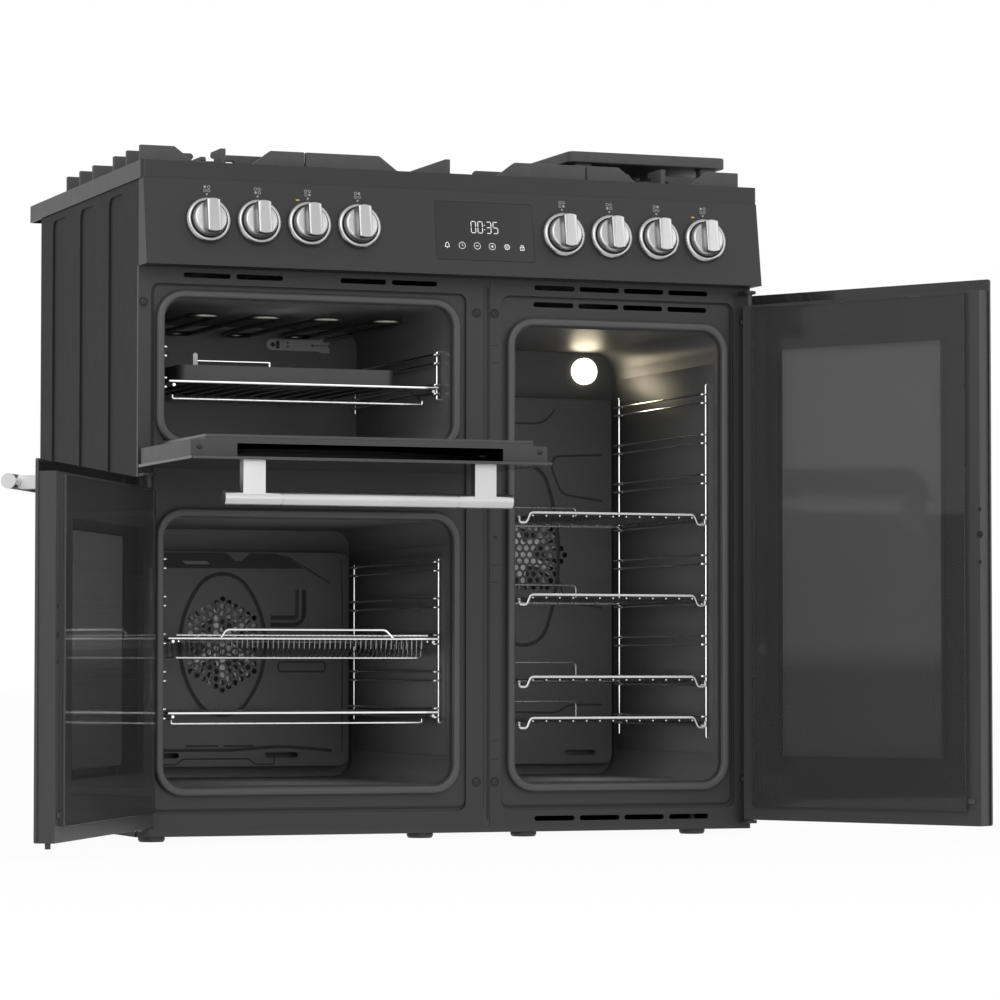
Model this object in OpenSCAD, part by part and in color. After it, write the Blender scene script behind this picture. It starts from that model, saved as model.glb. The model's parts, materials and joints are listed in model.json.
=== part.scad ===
// Range cooker, 90 cm class: a grill oven over a main oven on the left, a tall fan oven on the
// right, a five-burner gas hob on top and a loose griddle plate. Millimetres.
// The design frame has its middle under the hob's middle: +X right, +Y to the back, +Z up.
// The part's origin is on the floor under the middle of the front left foot, so every piece
// is moved there by place(). The three doors stand open, as the cooker is shown.

/* [Overall size] */
// Width over the hob
cooker_w = 900; // [880:5:960]
// Depth of the hob from its front edge to its back edge
hob_d = 600; // [590:5:640]
// Height of the hob's top above the floor
cooker_h = 910; // [905:1:930]
// Height of the hob's edge
hob_edge_h = 24; // [18:1:30]
// Width of the left module, which holds the grill oven and the main oven
left_module_w = 500; // [495:1:510]
// Distance of the oven fronts behind the hob's front edge
front_setback = 19; // [17:1:22]
// Distance of the back panel in front of the hob's back edge
back_setback = 62; // [50:1:80]
// How far the hob stands out over the body at each side
side_overhang = 2; // [1:0.5:3]

/* [Body] */
// Thickness of the body's sheet steel
sheet = 1.5; // [1:0.1:2]
// Height of the body's bottom edge above the floor, set by the feet
foot_clear = 7; // [5:0.5:9]
// Diameter of a foot's pad
foot_d = 36; // [28:1:40]
// Diameter of a foot's screw
foot_screw_d = 10; // [8:1:12]
// Thickness of the enamelled front frames
frame_t = 6; // [5:0.5:8]
// Depth of the pressed recess in the front frames
frame_recess = 4; // [2:0.5:4]
// Width of the strip between the two modules
strip_w = 9; // [6:1:12]
// Width of the pressed pockets in the side panels
pocket_w = 76; // [50:1:100]
// Distance from one pocket to the next
pocket_pitch = 151; // [120:1:155]
// Depth of the pockets
pocket_depth = 2.5; // [1.5:0.5:3]

/* [Control panel] */
// Height of the control panel
panel_h = 117; // [110:1:125]
// How far the panel's bottom edge stands in front of the oven fronts
panel_out_bottom = 40; // [38:1:44]
// How far the panel's top edge stands in front of the oven fronts
panel_out_top = 21; // [20:1:24]
// Thickness of the panel's sheet
panel_t = 3; // [2:0.5:4]
// Height of the knob row above the panel's bottom edge
knob_row_h = 61; // [55:1:66]
// Distance from one knob to the next
knob_pitch = 71; // [68:1:76]
// Distance of the outer knobs from the body's side
knob_side = 87; // [80:1:95]
// Outer diameter of a knob's bezel ring
bezel_d = 63; // [58:1:64]
// Height of the bezel ring above the panel
bezel_h = 9; // [6:1:12]
// Diameter of a knob's round base
knob_d = 48; // [42:1:50]
// Height of a knob's round base
knob_base_h = 17; // [14:1:20]
// Height of a knob's grip above its base
knob_grip_h = 15; // [10:1:18]
// Width of a knob's grip
knob_grip_w = 19; // [14:1:24]
// Diameter of a control spindle
spindle_d = 8; // [6:1:10]
// Width of the display glass
glass_w = 143; // [120:1:150]
// Height of the display glass
glass_h = 82; // [70:1:90]

/* [Ovens] */
// Height of the main oven's floor above the cooker's floor level
main_oven_z = 74; // [70:1:80]
// Height of the main oven's opening
main_oven_h = 359; // [340:1:362]
// Depth of the main oven behind the oven fronts
main_oven_d = 431; // [400:1:450]
// Height of the grill oven's opening
grill_oven_h = 185; // [170:1:188]
// Depth of the grill oven behind the oven fronts
grill_oven_d = 400; // [370:1:430]
// Distance of the tall oven's roof below the doors' top
tall_oven_drop = 54; // [50:1:80]
// Depth of the tall oven behind the oven fronts
tall_oven_d = 396; // [370:1:430]
// Width of the frame's rail at the left of each opening
rail_left = 38; // [36:1:42]
// Width of the frame's rail at the right of each opening
rail_right = 48.5; // [46:0.5:52]
// Corner radius of the oven openings
oven_r = 26; // [18:1:30]
// Wall thickness of the oven liners
liner_t = 1.5; // [1:0.1:2]
// Width of the door seals
seal_w = 11; // [8:1:12]
// Room behind the back baffles for the fan and its ring element
fan_room = 30; // [26:1:34]
// Diameter of the fan wheels
fan_d = 130; // [100:5:140]

/* [Doors] */
// Height of the doors' bottom edge above the floor
door_z = 20; // [18:1:24]
// Height of the main oven's door
main_door_h = 466; // [458:1:468]
// Gap between the main oven's door and the grill door
door_gap = 20; // [18:1:24]
// Gap between the doors and the control panel
door_top_gap = 11; // [10:1:14]
// Thickness of the outer glass panel
door_glass_t = 4; // [3:0.5:5]
// Thickness of the door's steel frame behind the glass panel
door_frame_t = 21.5; // [20:0.5:22]
// Height of the raised middle of the steel frame
door_raise = 3.5; // [3:0.5:3.5]
// Thickness of the inner glass
inner_glass_t = 4; // [3:0.5:4]
// Distance of the side hinge pins from the door's edge
hinge_inset = 10; // [9.5:0.5:12]
// Diameter of the side hinge pins
hinge_pin_d = 8; // [6:0.5:8]
// Opening angle of the two side-hinged doors
door_open_angle = 120; // [110:1:120]
// Diameter of the handle bars
handle_d = 19; // [16:1:22]
// Distance of the handle bars from the glass
handle_out = 48; // [42:1:56]
// Distance of the handle bars below the door's top edge
handle_drop = 25; // [22:1:30]
// Distance of the handle bars' ends from the door's sides
handle_inset = 50; // [40:1:60]

/* [Shelves] */
// Diameter of the shelf racks' wires
rack_wire_d = 4; // [3.5:0.5:4.5]
// Diameter of the shelves' frame wires
shelf_wire_d = 5; // [4.5:0.5:5.5]
// Distance between the shelf levels of the main oven
main_level_pitch = 50.5; // [48:0.5:52]
// Distance between the shelf levels of the tall oven
tall_level_pitch = 57; // [54:0.5:58]
// Distance of the racks from the oven walls
rack_off = 13; // [12:0.5:16]

/* [Hob] */
// Height of the pan supports' top above the hob
pan_support_h = 25; // [22:1:30]
// Width of the pan supports' bars
pan_bar_w = 8; // [7:1:10]
// Width of a side pan support
side_support_w = 232; // [220:1:236]
// Depth of the pan supports
support_d = 387; // [370:1:400]
// Distance of the pan supports behind the hob's front edge
support_y = 41; // [36:1:60]
// Width of the griddle plate
griddle_w = 242; // [230:1:246]
// Depth of the griddle plate
griddle_d = 330; // [300:5:340]
// Thickness of the griddle plate
griddle_t = 16; // [12:1:18]
// Clearance under the griddle plate
griddle_foot_h = 12; // [10:1:16]

/* [Connections] */
// Radius of the threaded gas inlet, G 1/2
inlet_r = 10.5; // [10.5]
// Length of the threaded gas inlet
inlet_l = 18; // [15:1:25]
// Radius of the cable gland's bore
gland_bore_r = 5.5; // [4:0.5:7]

/* [Hidden] */
$fn = 48;
fit = 0.05;
gap = 0.3;

half_w = cooker_w / 2;
half_d = hob_d / 2;
body_x = half_w - side_overhang;
front = -half_d + front_setback;
back = half_d - back_setback;
frame_back = front + frame_t;
recess_y = front + frame_recess;
split_x = -half_w + left_module_w;
base_z = foot_clear;
frame_z = base_z + 7;
hob_z = cooker_h - hob_edge_h;
panel_z = hob_z - panel_h;
left_x0 = -body_x;
left_x1 = split_x - strip_w / 2;
right_x0 = split_x + strip_w / 2;
right_x1 = body_x;

// the doors' outlines when closed
door_x_gap = 2;
left_door_x0 = -body_x;
left_door_x1 = split_x - door_x_gap;
right_door_x0 = split_x + door_x_gap;
right_door_x1 = body_x;
main_door_top = door_z + main_door_h;
grill_door_z = main_door_top + door_gap;
doors_top = panel_z - door_top_gap;
frame_inset = 2.5;
frame_top_drop = 15.5;
glass_y = front - 40;
door_y0 = glass_y + door_glass_t;
door_y1 = door_y0 + door_frame_t;
raise_y = door_y1 + door_raise;
wall_t = 2;
raise_side = 20;
raise_top = 4;
side_hinge_y = front - 20;
left_hinge_x = left_door_x0 + hinge_inset;
right_hinge_x = right_door_x1 - hinge_inset;
bracket_t = 4;
grill_hinge_y = front - 17;
grill_hinge_z = grill_door_z + 16;
grill_pin_d = 6;
grill_lug_w = 8;
grill_lug_x = [left_door_x0 + 8, left_door_x1 - 20];
grill_open_angle = 90;

// the oven openings
left_oven = [left_x0 + rail_left, left_x1 - rail_right];
right_oven = [right_x0 + rail_left, right_x1 - rail_right];
grill_oven_top = doors_top - 32;
grill_oven_z = grill_oven_top - grill_oven_h;
tall_oven_z = main_oven_z + 1;
tall_oven_top = doors_top - tall_oven_drop;
main_oven_top = main_oven_z + main_oven_h;
main_back = front + main_oven_d;
grill_back = front + grill_oven_d;
tall_back = front + tall_oven_d;
main_fan_up = 192;
main_fan = [(left_oven[0] + left_oven[1]) / 2, main_oven_z + main_fan_up];
tall_fan_drop = 304;
tall_fan = [(right_oven[0] + right_oven[1]) / 2, tall_oven_top - tall_fan_drop];
baffle_edge = 12;
baffle_t = 1.5;
main_baffle_y = main_back - fan_room;
tall_baffle_y = tall_back - fan_room;
main_baffle_top = main_oven_top - 33;
tall_baffle_top = tall_oven_top - 72;
motor_d = 64;
motor_l = 45;
motor_flange = 10;
shaft_d = 8;
hub_d = 22;
hub_l = 11;
blade_l = 25;
wheel_off = 9;
element_d = 6.5;
ring_element_d = 176;
hole_pitch = 11;
hole_d = 8;
main_ring_w = 135;
main_ring_h = 210;
tall_ring_w = 118;
tall_ring_h = 274;
groove_w = 6;
groove_depth = 0.9;
lamp_d = 40;
lamp_x = right_oven[1] - 45;
lamp_z = tall_oven_top - 28;

// the shelf racks and what slides in them
main_level_up = 95;
tall_level_up = 81;
grill_level_up = 74;
grill_level_pitch = 42;
main_level_1 = main_oven_z + main_level_up;
tall_level_1 = tall_oven_z + tall_level_up;
grill_level_1 = grill_oven_z + grill_level_up;
tall_level_room = 60;
tall_level_last = floor((tall_oven_top - tall_level_1 - tall_level_room) / tall_level_pitch);
rung_d = 3;
cross_wire_d = shelf_wire_d - 0.4;
rung_up = (shelf_wire_d + rung_d) / 2 - 1.2;
front_bar_up = rung_up + (shelf_wire_d + rung_d) / 2 - gap;
front_step = 14;
rack_front = front + 36;
main_rack_back = main_baffle_y - 6;
tall_rack_back = tall_baffle_y - 12;
grill_rack_back = grill_back - 8;
rail_in = 1.4;
upright_in = (shelf_wire_d + rack_wire_d) / 2 + 2 * gap;
rail_below = (shelf_wire_d + rack_wire_d) / 2 + 0.1;
rail_above = rail_below + 3;
shelf_in = 20;
shelf_front = front + shelf_in;
shelf_clear = 36;
grill_shelf_clear = 50;
main_shelf_d = main_baffle_y - shelf_front - shelf_clear;
tall_shelf_d = tall_baffle_y - shelf_front - shelf_clear;
grill_shelf_d = grill_back - shelf_front - grill_shelf_clear;
tall_levels = [0, 1, 3, 5];
basket_drop = 24;
basket_wires = 48;
pan_h = 22;
pan_w = 310;
pan_d = 280;
pan_in = 22;
pan_shift = 18;
pan_wall = 2;

// the knobs, in order from the left
panel_tilt = atan((panel_out_bottom - panel_out_top) / panel_h);
panel_l = panel_h / cos(panel_tilt);
knob_y_off = knob_row_h / cos(panel_tilt);
knob_x = [for (i = [0 : 3]) -body_x + knob_side + i * knob_pitch,
    for (i = [3 : -1 : 0]) body_x - knob_side + 3 - i * knob_pitch];
display_x = split_x - 15;
display_h = panel_l / 2 + 3;
valve_l = 40;
valve_d = 24;
valve_neck_d = 16;
valve_y = panel_t + 6;
gas_rail_d = 16;
rail_y = front - panel_out_bottom + knob_row_h * tan(panel_tilt) + valve_l * cos(panel_tilt);
rail_z = panel_z + knob_row_h - valve_l * sin(panel_tilt);
rail_end_in = 60;
inlet_in = 50;
inlet_x = body_x - inlet_in;
inlet_flange_d = 34;
terminal_in = 90;
terminal_x = -body_x + terminal_in;
terminal_z = 110;
restraint_in = 60;
restraint_x = body_x - restraint_in;
restraint_z = panel_z - 9;
restraint_pitch = 40;
restraint_d = 6.5;
terminal_w = 90;
terminal_h = 70;
terminal_d = 32;
terminal_wall = 3;

// the hob
hob_wall = 3;
hob_recess = 4;
well_z = cooker_h - hob_recess;
support_top = cooker_h + pan_support_h;
support_y0 = -half_d + support_y;
support_y1 = support_y0 + support_d;
side_support_x = half_w - 10 - side_support_w / 2;
centre_support_w = 2 * (side_support_x - side_support_w / 2) - 4;
front_burner_y = support_y0 + 70;
rear_burner_y = support_y1 - 74;
centre_burner_y = (support_y0 + support_y1) / 2;
burners = [
    [-side_support_x, front_burner_y, 62],
    [-side_support_x, rear_burner_y, 92],
    [0, centre_burner_y, 128],
    [side_support_x, front_burner_y, 62],
    [side_support_x, rear_burner_y, 92]];
burner_h = 12;
cap_h = 5;
over_z = well_z + burner_h + cap_h + 3;
griddle_z = support_top + griddle_foot_h;
griddle_y0 = support_y0 + 54;

// the feet stand under the module corners
foot_in = [27, 90, 62, 82];
foot_x = [-body_x + foot_in[0], split_x - foot_in[1], split_x + foot_in[2], body_x - foot_in[3]];
foot_front_in = 21;
foot_rear_in = 38;
foot_front_y = front + foot_front_in;
foot_rear_y = back - foot_rear_in;

// ---- shapes that repeat ----

// moves the design frame to the part's origin, under the front left foot
module place() {
    translate([-foot_x[0], -foot_front_y, 0]) children();
}

// a block between two corners
module block(x0, x1, y0, y1, z0, z1) {
    translate([x0, y0, z0]) cube([x1 - x0, y1 - y0, z1 - z0]);
}

// a rectangle with round corners, between two corners
module round_rect(u0, u1, v0, v1, r) {
    translate([u0 + r, v0]) square([u1 - u0 - 2 * r, v1 - v0]);
    translate([u0, v0 + r]) square([u1 - u0, v1 - v0 - 2 * r]);
    for (u = [u0 + r, u1 - r], v = [v0 + r, v1 - r]) translate([u, v]) circle(r = r);
}

// a slab with round corners that faces front and back
module slab_y(x0, x1, y0, y1, z0, z1, r) {
    translate([0, y1, 0]) rotate([90, 0, 0]) linear_extrude(y1 - y0)
        round_rect(x0, x1, z0, z1, r);
}

// a slab with round corners that faces sideways
module slab_x(x0, x1, y0, y1, z0, z1, r) {
    translate([x0, 0, 0]) rotate([90, 0, 90]) linear_extrude(x1 - x0)
        round_rect(y0, y1, z0, z1, r);
}

// a slab with round corners that lies flat
module slab_z(x0, x1, y0, y1, z0, z1, r) {
    translate([0, 0, z0]) linear_extrude(z1 - z0) round_rect(x0, x1, y0, y1, r);
}

// round bars along the three axes
module bar_x(x0, x1, y, z, d) {
    translate([x0, y, z]) rotate([0, 90, 0]) cylinder(h = x1 - x0, d = d);
}
module bar_y(x, y0, y1, z, d) {
    translate([x, y1, z]) rotate([90, 0, 0]) cylinder(h = y1 - y0, d = d);
}
module bar_z(x, y, z0, z1, d) {
    translate([x, y, z0]) cylinder(h = z1 - z0, d = d);
}

// a slot with round ends through a plate that faces front
module slot_y(x0, x1, z, h) {
    slab_y(x0, x1, front - 1, frame_back + 1, z - h / 2, z + h / 2, h / 2 - 0.01);
}

// the control panel's own frame: x along it, y into the body, z up along its slope
module on_panel() {
    translate([0, front - panel_out_bottom, panel_z]) rotate([-panel_tilt, 0, 0]) children();
}

// turns a closed side door about its pins to its opening angle
module swing(hinge_x, angle) {
    translate([hinge_x, side_hinge_y, 0]) rotate([0, 0, angle])
        translate([-hinge_x, -side_hinge_y, 0]) children();
}
module left_open() {
    swing(left_hinge_x, -door_open_angle) children();
}
module right_open() {
    swing(right_hinge_x, door_open_angle) children();
}

// drops the closed grill door to its level place
module grill_open() {
    translate([0, grill_hinge_y, grill_hinge_z]) rotate([grill_open_angle, 0, 0])
        translate([0, -grill_hinge_y, -grill_hinge_z]) children();
}

// ---- the body ----

module side_panel() {
    top = hob_z - 11;
    bottom = base_z + 40;
    color([0.27, 0.27, 0.28]) difference() {
        union() {
            block(-body_x, -body_x + sheet, frame_back, back, base_z, hob_z);
            block(-body_x, -body_x + sheet, front, frame_back, panel_z, hob_z);
            for (i = [0 : 2])
                slab_x(-body_x, -body_x + pocket_depth + sheet,
                    pocket_y(i) - sheet, pocket_y(i) + pocket_w + sheet,
                    bottom - sheet, top + sheet, 15 + sheet);
        }
        for (i = [0 : 2])
            slab_x(-body_x - 1, -body_x + pocket_depth,
                pocket_y(i), pocket_y(i) + pocket_w, bottom, top, 15);
    }
}

function pocket_y(i) = back - 67 - pocket_w - i * pocket_pitch;

module side_panel_left() {
    side_panel();
}

module side_panel_right() {
    mirror([1, 0, 0]) side_panel();
}

module back_panel() {
    x = body_x - sheet;
    color([0.32, 0.32, 0.33]) difference() {
        block(-x, x, back - sheet, back, base_z + sheet, hob_z);
        for (s = [-1, 1], i = [0 : 5])
            slab_y(s * body_x / 2 - 90, s * body_x / 2 + 90, back - 5, back + 1,
                panel_z - 209 + i * 22, panel_z - 201 + i * 22, 3.9);
        for (s = [-1, 1], d = [-1, 1])
            bar_y(s * restraint_x + d * restraint_pitch / 2, back - 5, back + 1, restraint_z,
                restraint_d);
        bar_y(inlet_x, back - 5, back + 1, rail_z, 2 * inlet_r + 4);
        block(terminal_x - 20, terminal_x + 20, back - 5, back + 1,
            terminal_z - 20, terminal_z + 20);
    }
}

module base_tray() {
    x = body_x - sheet;
    color([0.2, 0.2, 0.21]) difference() {
        union() {
            block(-x, x, front, back - sheet, base_z, base_z + sheet);
            block(-x, x, front, front + 2, base_z, frame_z);
            block(-x, x, back - 2 * sheet, back - sheet, base_z, base_z + 25);
        }
        for (x = foot_x, y = [foot_front_y, foot_rear_y])
            bar_z(x, y, base_z - 1, base_z + 5, foot_screw_d + 0.6);
    }
}

module partition() {
    color([0.25, 0.25, 0.26]) {
        block(left_x1, right_x0, front + 1, frame_back, frame_z, panel_z);
        difference() {
            block(split_x - 1, split_x + 1, frame_back, back - 2 * sheet, base_z + sheet, hob_z);
            bar_x(split_x - 5, split_x + 5, rail_y, rail_z, gas_rail_d + 4);
        }
    }
}

module levelling_feet() {
    color([0.15, 0.15, 0.16]) for (x = foot_x, y = [foot_front_y, foot_rear_y]) {
        difference() {
            bar_z(x, y, 0, base_z, foot_d);
            translate([x, y, 0]) rotate_extrude() translate([foot_d / 2 - 2, -0.01])
                polygon([[0.01, 0], [3, 0], [3, 3], [2.01, 3]]);
        }
        bar_z(x, y, base_z - 1, base_z + 28, foot_screw_d);
        difference() {
            translate([x, y, base_z + sheet]) cylinder(h = 7, d = 1.9 * foot_screw_d, $fn = 6);
            bar_z(x, y, base_z, base_z + 12, foot_screw_d - 0.2);
        }
    }
}

module hob_top() {
    color([0.26, 0.26, 0.27]) difference() {
        slab_z(-half_w, half_w, -half_d, half_d, hob_z, cooker_h, 6);
        slab_z(-half_w + 9, half_w - 9, -half_d + 14, half_d - 60, well_z, cooker_h + 1, 20);
        block(-half_w + hob_wall, half_w - hob_wall, -half_d + hob_wall, half_d - hob_wall,
            hob_z - 1, well_z - hob_wall);
        for (b = burners) bar_z(b[0], b[1], hob_z, cooker_h, b[2] - 18);
        for (i = [0 : 11])
            slab_z(-half_w + 70 + i * 64, -half_w + 70 + i * 64 + 48,
                half_d - 36, half_d - 28, hob_z - 1, cooker_h + 1, 3.9);
    }
}

// ---- the control panel ----

module control_panel() {
    color([0.27, 0.27, 0.28]) difference() {
        panel_prism(body_x, 0);
        panel_prism(body_x - panel_t, panel_t);
        for (k = knob_x) on_panel() translate([0, 0, knob_y_off]) bar_y(k, -1, 8, 0, spindle_d + 2);
        on_panel() slab_y(display_x - glass_w / 2 - gap, display_x + glass_w / 2 + gap,
            -1, 1.5, display_h - glass_h / 2 - gap, display_h + glass_h / 2 + gap, 2.3);
        on_panel() block(display_x - 50, display_x + 50, 0, 8, display_h - 25, display_h + 25);
    }
}

// the panel's wedge, or the hollow in it, which is smaller all round by a wall's thickness
module panel_prism(x, wall) {
    slope_y = front - panel_out_bottom + wall / cos(panel_tilt);
    translate([-x, 0, 0]) rotate([90, 0, 90]) linear_extrude(2 * x)
        polygon([[front + wall, panel_z + wall], [slope_y + wall * tan(panel_tilt), panel_z + wall],
            [slope_y + (panel_h - wall) * tan(panel_tilt), hob_z - wall],
            [front + wall, hob_z - wall]]);
}

module display_glass() {
    color([0.1, 0.1, 0.11]) on_panel()
        slab_y(display_x - glass_w / 2, display_x + glass_w / 2, -0.3, 1.5,
            display_h - glass_h / 2, display_h + glass_h / 2, 2);
}

module knob_bezels() {
    color([0.78, 0.78, 0.79]) for (k = knob_x) on_panel() translate([k, 0, knob_y_off])
        rotate([90, 0, 0]) difference() {
            union() {
                cylinder(h = bezel_h - 4, d = bezel_d);
                translate([0, 0, bezel_h - 4]) cylinder(h = 4, d1 = bezel_d, d2 = bezel_d - 6);
            }
            translate([0, 0, -1]) cylinder(h = bezel_h + 2, d = knob_d + 3);
        }
}

// a knob: spindle, round base with a sloped rim, and a straight grip
module knob(i) {
    color([0.82, 0.82, 0.83]) on_panel() translate([knob_x[i], 0, knob_y_off])
        rotate([90, 0, 0]) {
            translate([0, 0, -valve_y - 12]) cylinder(h = valve_y + 14, d = spindle_d);
            translate([0, 0, 1.5]) cylinder(h = knob_base_h - 6.5, d = knob_d);
            translate([0, 0, knob_base_h - 5]) cylinder(h = 5, d1 = knob_d, d2 = knob_d - 5);
            intersection() {
                cylinder(h = knob_base_h + knob_grip_h, d = knob_d - 1);
                block(-knob_grip_w / 2, knob_grip_w / 2, -knob_d, knob_d,
                    knob_base_h - 2, knob_base_h + knob_grip_h);
            }
        }
}

module control_valves() {
    color([0.7, 0.62, 0.4]) for (k = knob_x) on_panel() translate([k, 0, knob_y_off])
        rotate([-90, 0, 0]) difference() {
            union() {
                translate([0, 0, panel_t]) cylinder(h = valve_y - panel_t, d = valve_neck_d);
                translate([0, 0, valve_y]) cylinder(h = valve_l - valve_y - 3, d = valve_d);
            }
            translate([0, 0, -1]) cylinder(h = valve_y + 18, d = spindle_d + 2 * fit);
            bar_x(-20, 20, 0, valve_l, gas_rail_d);
        }
}

// ---- the oven fronts ----

// a front frame: an enamelled plate with a pressed recess, vent slots and openings
module front_frame(x0, x1, ovens, rows, slots) {
    z1 = doors_top - 11;
    color([0.3, 0.3, 0.31]) difference() {
        block(x0, x1, front, frame_back, frame_z, panel_z);
        slab_y(x0 + 17, x1 - 26, front - 1, recess_y, frame_z + 23, z1, 12);
        for (o = ovens) slab_y(o[0], o[1], front - 1, frame_back + 1, o[2], o[3], oven_r);
        for (r = rows, s = slots) slot_y(s[0], s[1], r, 7);
        for (s = frame_screws(x0, x1)) bar_y(s[0], front - 1, frame_back + 1, s[1], 4 + 2 * fit);
    }
}

// two pairs of long vent slots about a middle, at two distances from it
function vent_slots(m, l, near, far) = [for (o = [-far, -near, near, far])
    [m + o - l / 2, m + o + l / 2]];

// the screws of a front frame, beside the openings
function frame_screws(x0, x1) = [for (x = [x0 + 7, x1 - 11], z = [main_oven_z + 2, doors_top - 37])
    [x, z]];

module front_frame_left() {
    front_frame(left_x0, left_x1,
        [[left_oven[0], left_oven[1], main_oven_z, main_oven_top],
        [left_oven[0], left_oven[1], grill_oven_z, grill_oven_top]], [doors_top + 1],
        vent_slots((left_x0 + left_x1) / 2 - 3, 66, 74, 148));
}

module front_frame_right() {
    front_frame(right_x0, right_x1,
        [[right_oven[0], right_oven[1], tall_oven_z, tall_oven_top]],
        [doors_top + 1, doors_top - 22, frame_z + 11],
        vent_slots((right_x0 + right_x1) / 2, 60, 33.5, 101));
}

module screws() {
    color([0.2, 0.2, 0.21]) for (s = concat(frame_screws(left_x0, left_x1),
        frame_screws(right_x0, right_x1))) {
        bar_y(s[0], front - 2, front, s[1], 8);
        bar_y(s[0], front - 1, frame_back, s[1], 4);
    }
}

// an oven liner: a box with round edges, open to the front
module liner(x, z0, z1, y1) {
    color([0.17, 0.17, 0.18]) difference() {
        slab_y(x[0] - liner_t, x[1] + liner_t, frame_back, y1 + liner_t,
            z0 - liner_t, z1 + liner_t, oven_r + liner_t);
        slab_y(x[0], x[1], frame_back - 1, y1, z0, z1, oven_r);
        children();
    }
}

module grill_oven_liner() {
    liner(left_oven, grill_oven_z, grill_oven_top, grill_back);
}

module main_oven_liner() {
    liner(left_oven, main_oven_z, main_oven_top, main_back)
        bar_y(main_fan[0], main_back - 1, main_back + 9, main_fan[1], shaft_d + 4);
}

module tall_oven_liner() {
    liner(right_oven, tall_oven_z, tall_oven_top, tall_back)
        bar_y(tall_fan[0], tall_back - 1, tall_back + 9, tall_fan[1], shaft_d + 4);
}

// a seal ring round an opening, on the frame's recess
module seal(x, z0, z1) {
    w = seal_w + 2;
    y = front - 6.5;
    difference() {
        slab_y(x[0] - w, x[1] + w, y, recess_y, z0 - w, z1 + w, oven_r + w);
        slab_y(x[0] - 2, x[1] + 2, y - 1, recess_y + 1, z0 - 2, z1 + 2, oven_r + 2);
    }
}

module door_seals() {
    color([0.36, 0.36, 0.37]) {
        seal(left_oven, main_oven_z, main_oven_top);
        seal(left_oven, grill_oven_z, grill_oven_top);
        seal(right_oven, tall_oven_z, tall_oven_top);
    }
}

// ---- what is inside the ovens ----

// rows of holes in a tall hexagon, n rows to each side of its middle row
function hex_holes(n) = [for (i = [-n : n], j = [-2 * n : 2 * n])
    if (abs(j + i / 2) <= n + 1 - abs(i) / 2) [i * hole_pitch * 0.87, (j + i / 2) * hole_pitch]];

// an oval of four arcs, half its width by half its height
module oval(rx, rz, grow) {
    end_r = 0.72 * rx;
    side_r = (rx ^ 2 + (rz - end_r) ^ 2 - end_r ^ 2) / (2 * (rx - end_r));
    meet = (side_r + grow) * (rz - end_r) / (side_r - end_r);
    intersection_for (s = [-1, 1]) translate([s * (side_r - rx), 0]) intersection() {
        circle(r = side_r + grow);
        translate([-2 * side_r, -meet]) square([4 * side_r, 2 * meet]);
    }
    for (s = [-1, 1]) translate([0, s * (rz - end_r)]) circle(r = end_r + grow);
}

// a pressed plate in front of the fan, with a rim to the oven's back wall, air holes and a groove
module baffle(x, z0, z1, fan, y, y1, ring, upright) {
    difference() {
        slab_y(x[0] + baffle_edge, x[1] - baffle_edge, y, y1, z0, z1, 14);
        slab_y(x[0] + baffle_edge + baffle_t, x[1] - baffle_edge - baffle_t, y + baffle_t, y1 + 1,
            z0 + baffle_t, z1 - baffle_t, 14 - baffle_t);
        for (h = hex_holes(5))
            bar_y(fan[0] + h[upright ? 0 : 1], y - 1, y + 5, fan[1] + h[upright ? 1 : 0], hole_d);
        for (s = [-1, 1])
            slab_y(fan[0] + s * 90 - 25, fan[0] + s * 90 + 25, y - 1, y + 5, z0 + 12, z0 + 20, 3.9);
        translate([fan[0], y + groove_depth, fan[1]]) rotate([90, 0, 0])
            linear_extrude(groove_depth + 1) difference() {
                oval(ring[0], ring[1], 0);
                oval(ring[0], ring[1], -groove_w);
            }
    }
}

module fan_baffles() {
    color([0.19, 0.19, 0.2]) {
        baffle(left_oven, main_oven_z + 16, main_baffle_top, main_fan, main_baffle_y, main_back,
            [main_ring_w / 2, main_ring_h / 2], true);
        baffle(right_oven, tall_oven_z + 16, tall_baffle_top, tall_fan, tall_baffle_y, tall_back,
            [tall_ring_w / 2, tall_ring_h / 2], false);
    }
}

// a fan motor on the back of a liner, with a bearing hole for the shaft
module fan_motor(fan, y) {
    translate([fan[0], y + liner_t, fan[1]]) rotate([-90, 0, 0]) difference() {
        union() {
            cylinder(h = 3, d = motor_d + 2 * motor_flange);
            cylinder(h = motor_l, d = motor_d);
        }
        translate([0, 0, -1]) cylinder(h = motor_l - 8, d = shaft_d + 2 * fit);
    }
}

module fan_motors() {
    color([0.6, 0.6, 0.62]) {
        fan_motor(main_fan, main_back);
        fan_motor(tall_fan, tall_back);
    }
}

// a fan wheel with its shaft, which turns in the motor's bearing
module fan_wheel(fan, y) {
    translate([fan[0], y, fan[1]]) rotate([90, 0, 0]) {
        translate([0, 0, -motor_l + 12]) cylinder(h = motor_l + 8, d = shaft_d);
        translate([0, 0, wheel_off]) cylinder(h = 1.5, d = fan_d);
        translate([0, 0, wheel_off]) cylinder(h = hub_l, d = hub_d);
        for (i = [0 : 11]) rotate([0, 0, i * 30 + 15])
            block(fan_d / 2 - 3 - blade_l, fan_d / 2 - 3, -0.6, 0.6, wheel_off + 1, wheel_off + 14);
    }
}

module main_fan_wheel() {
    color([0.66, 0.67, 0.69]) fan_wheel(main_fan, main_back);
}

module tall_fan_wheel() {
    color([0.66, 0.67, 0.69]) fan_wheel(tall_fan, tall_back);
}

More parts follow.
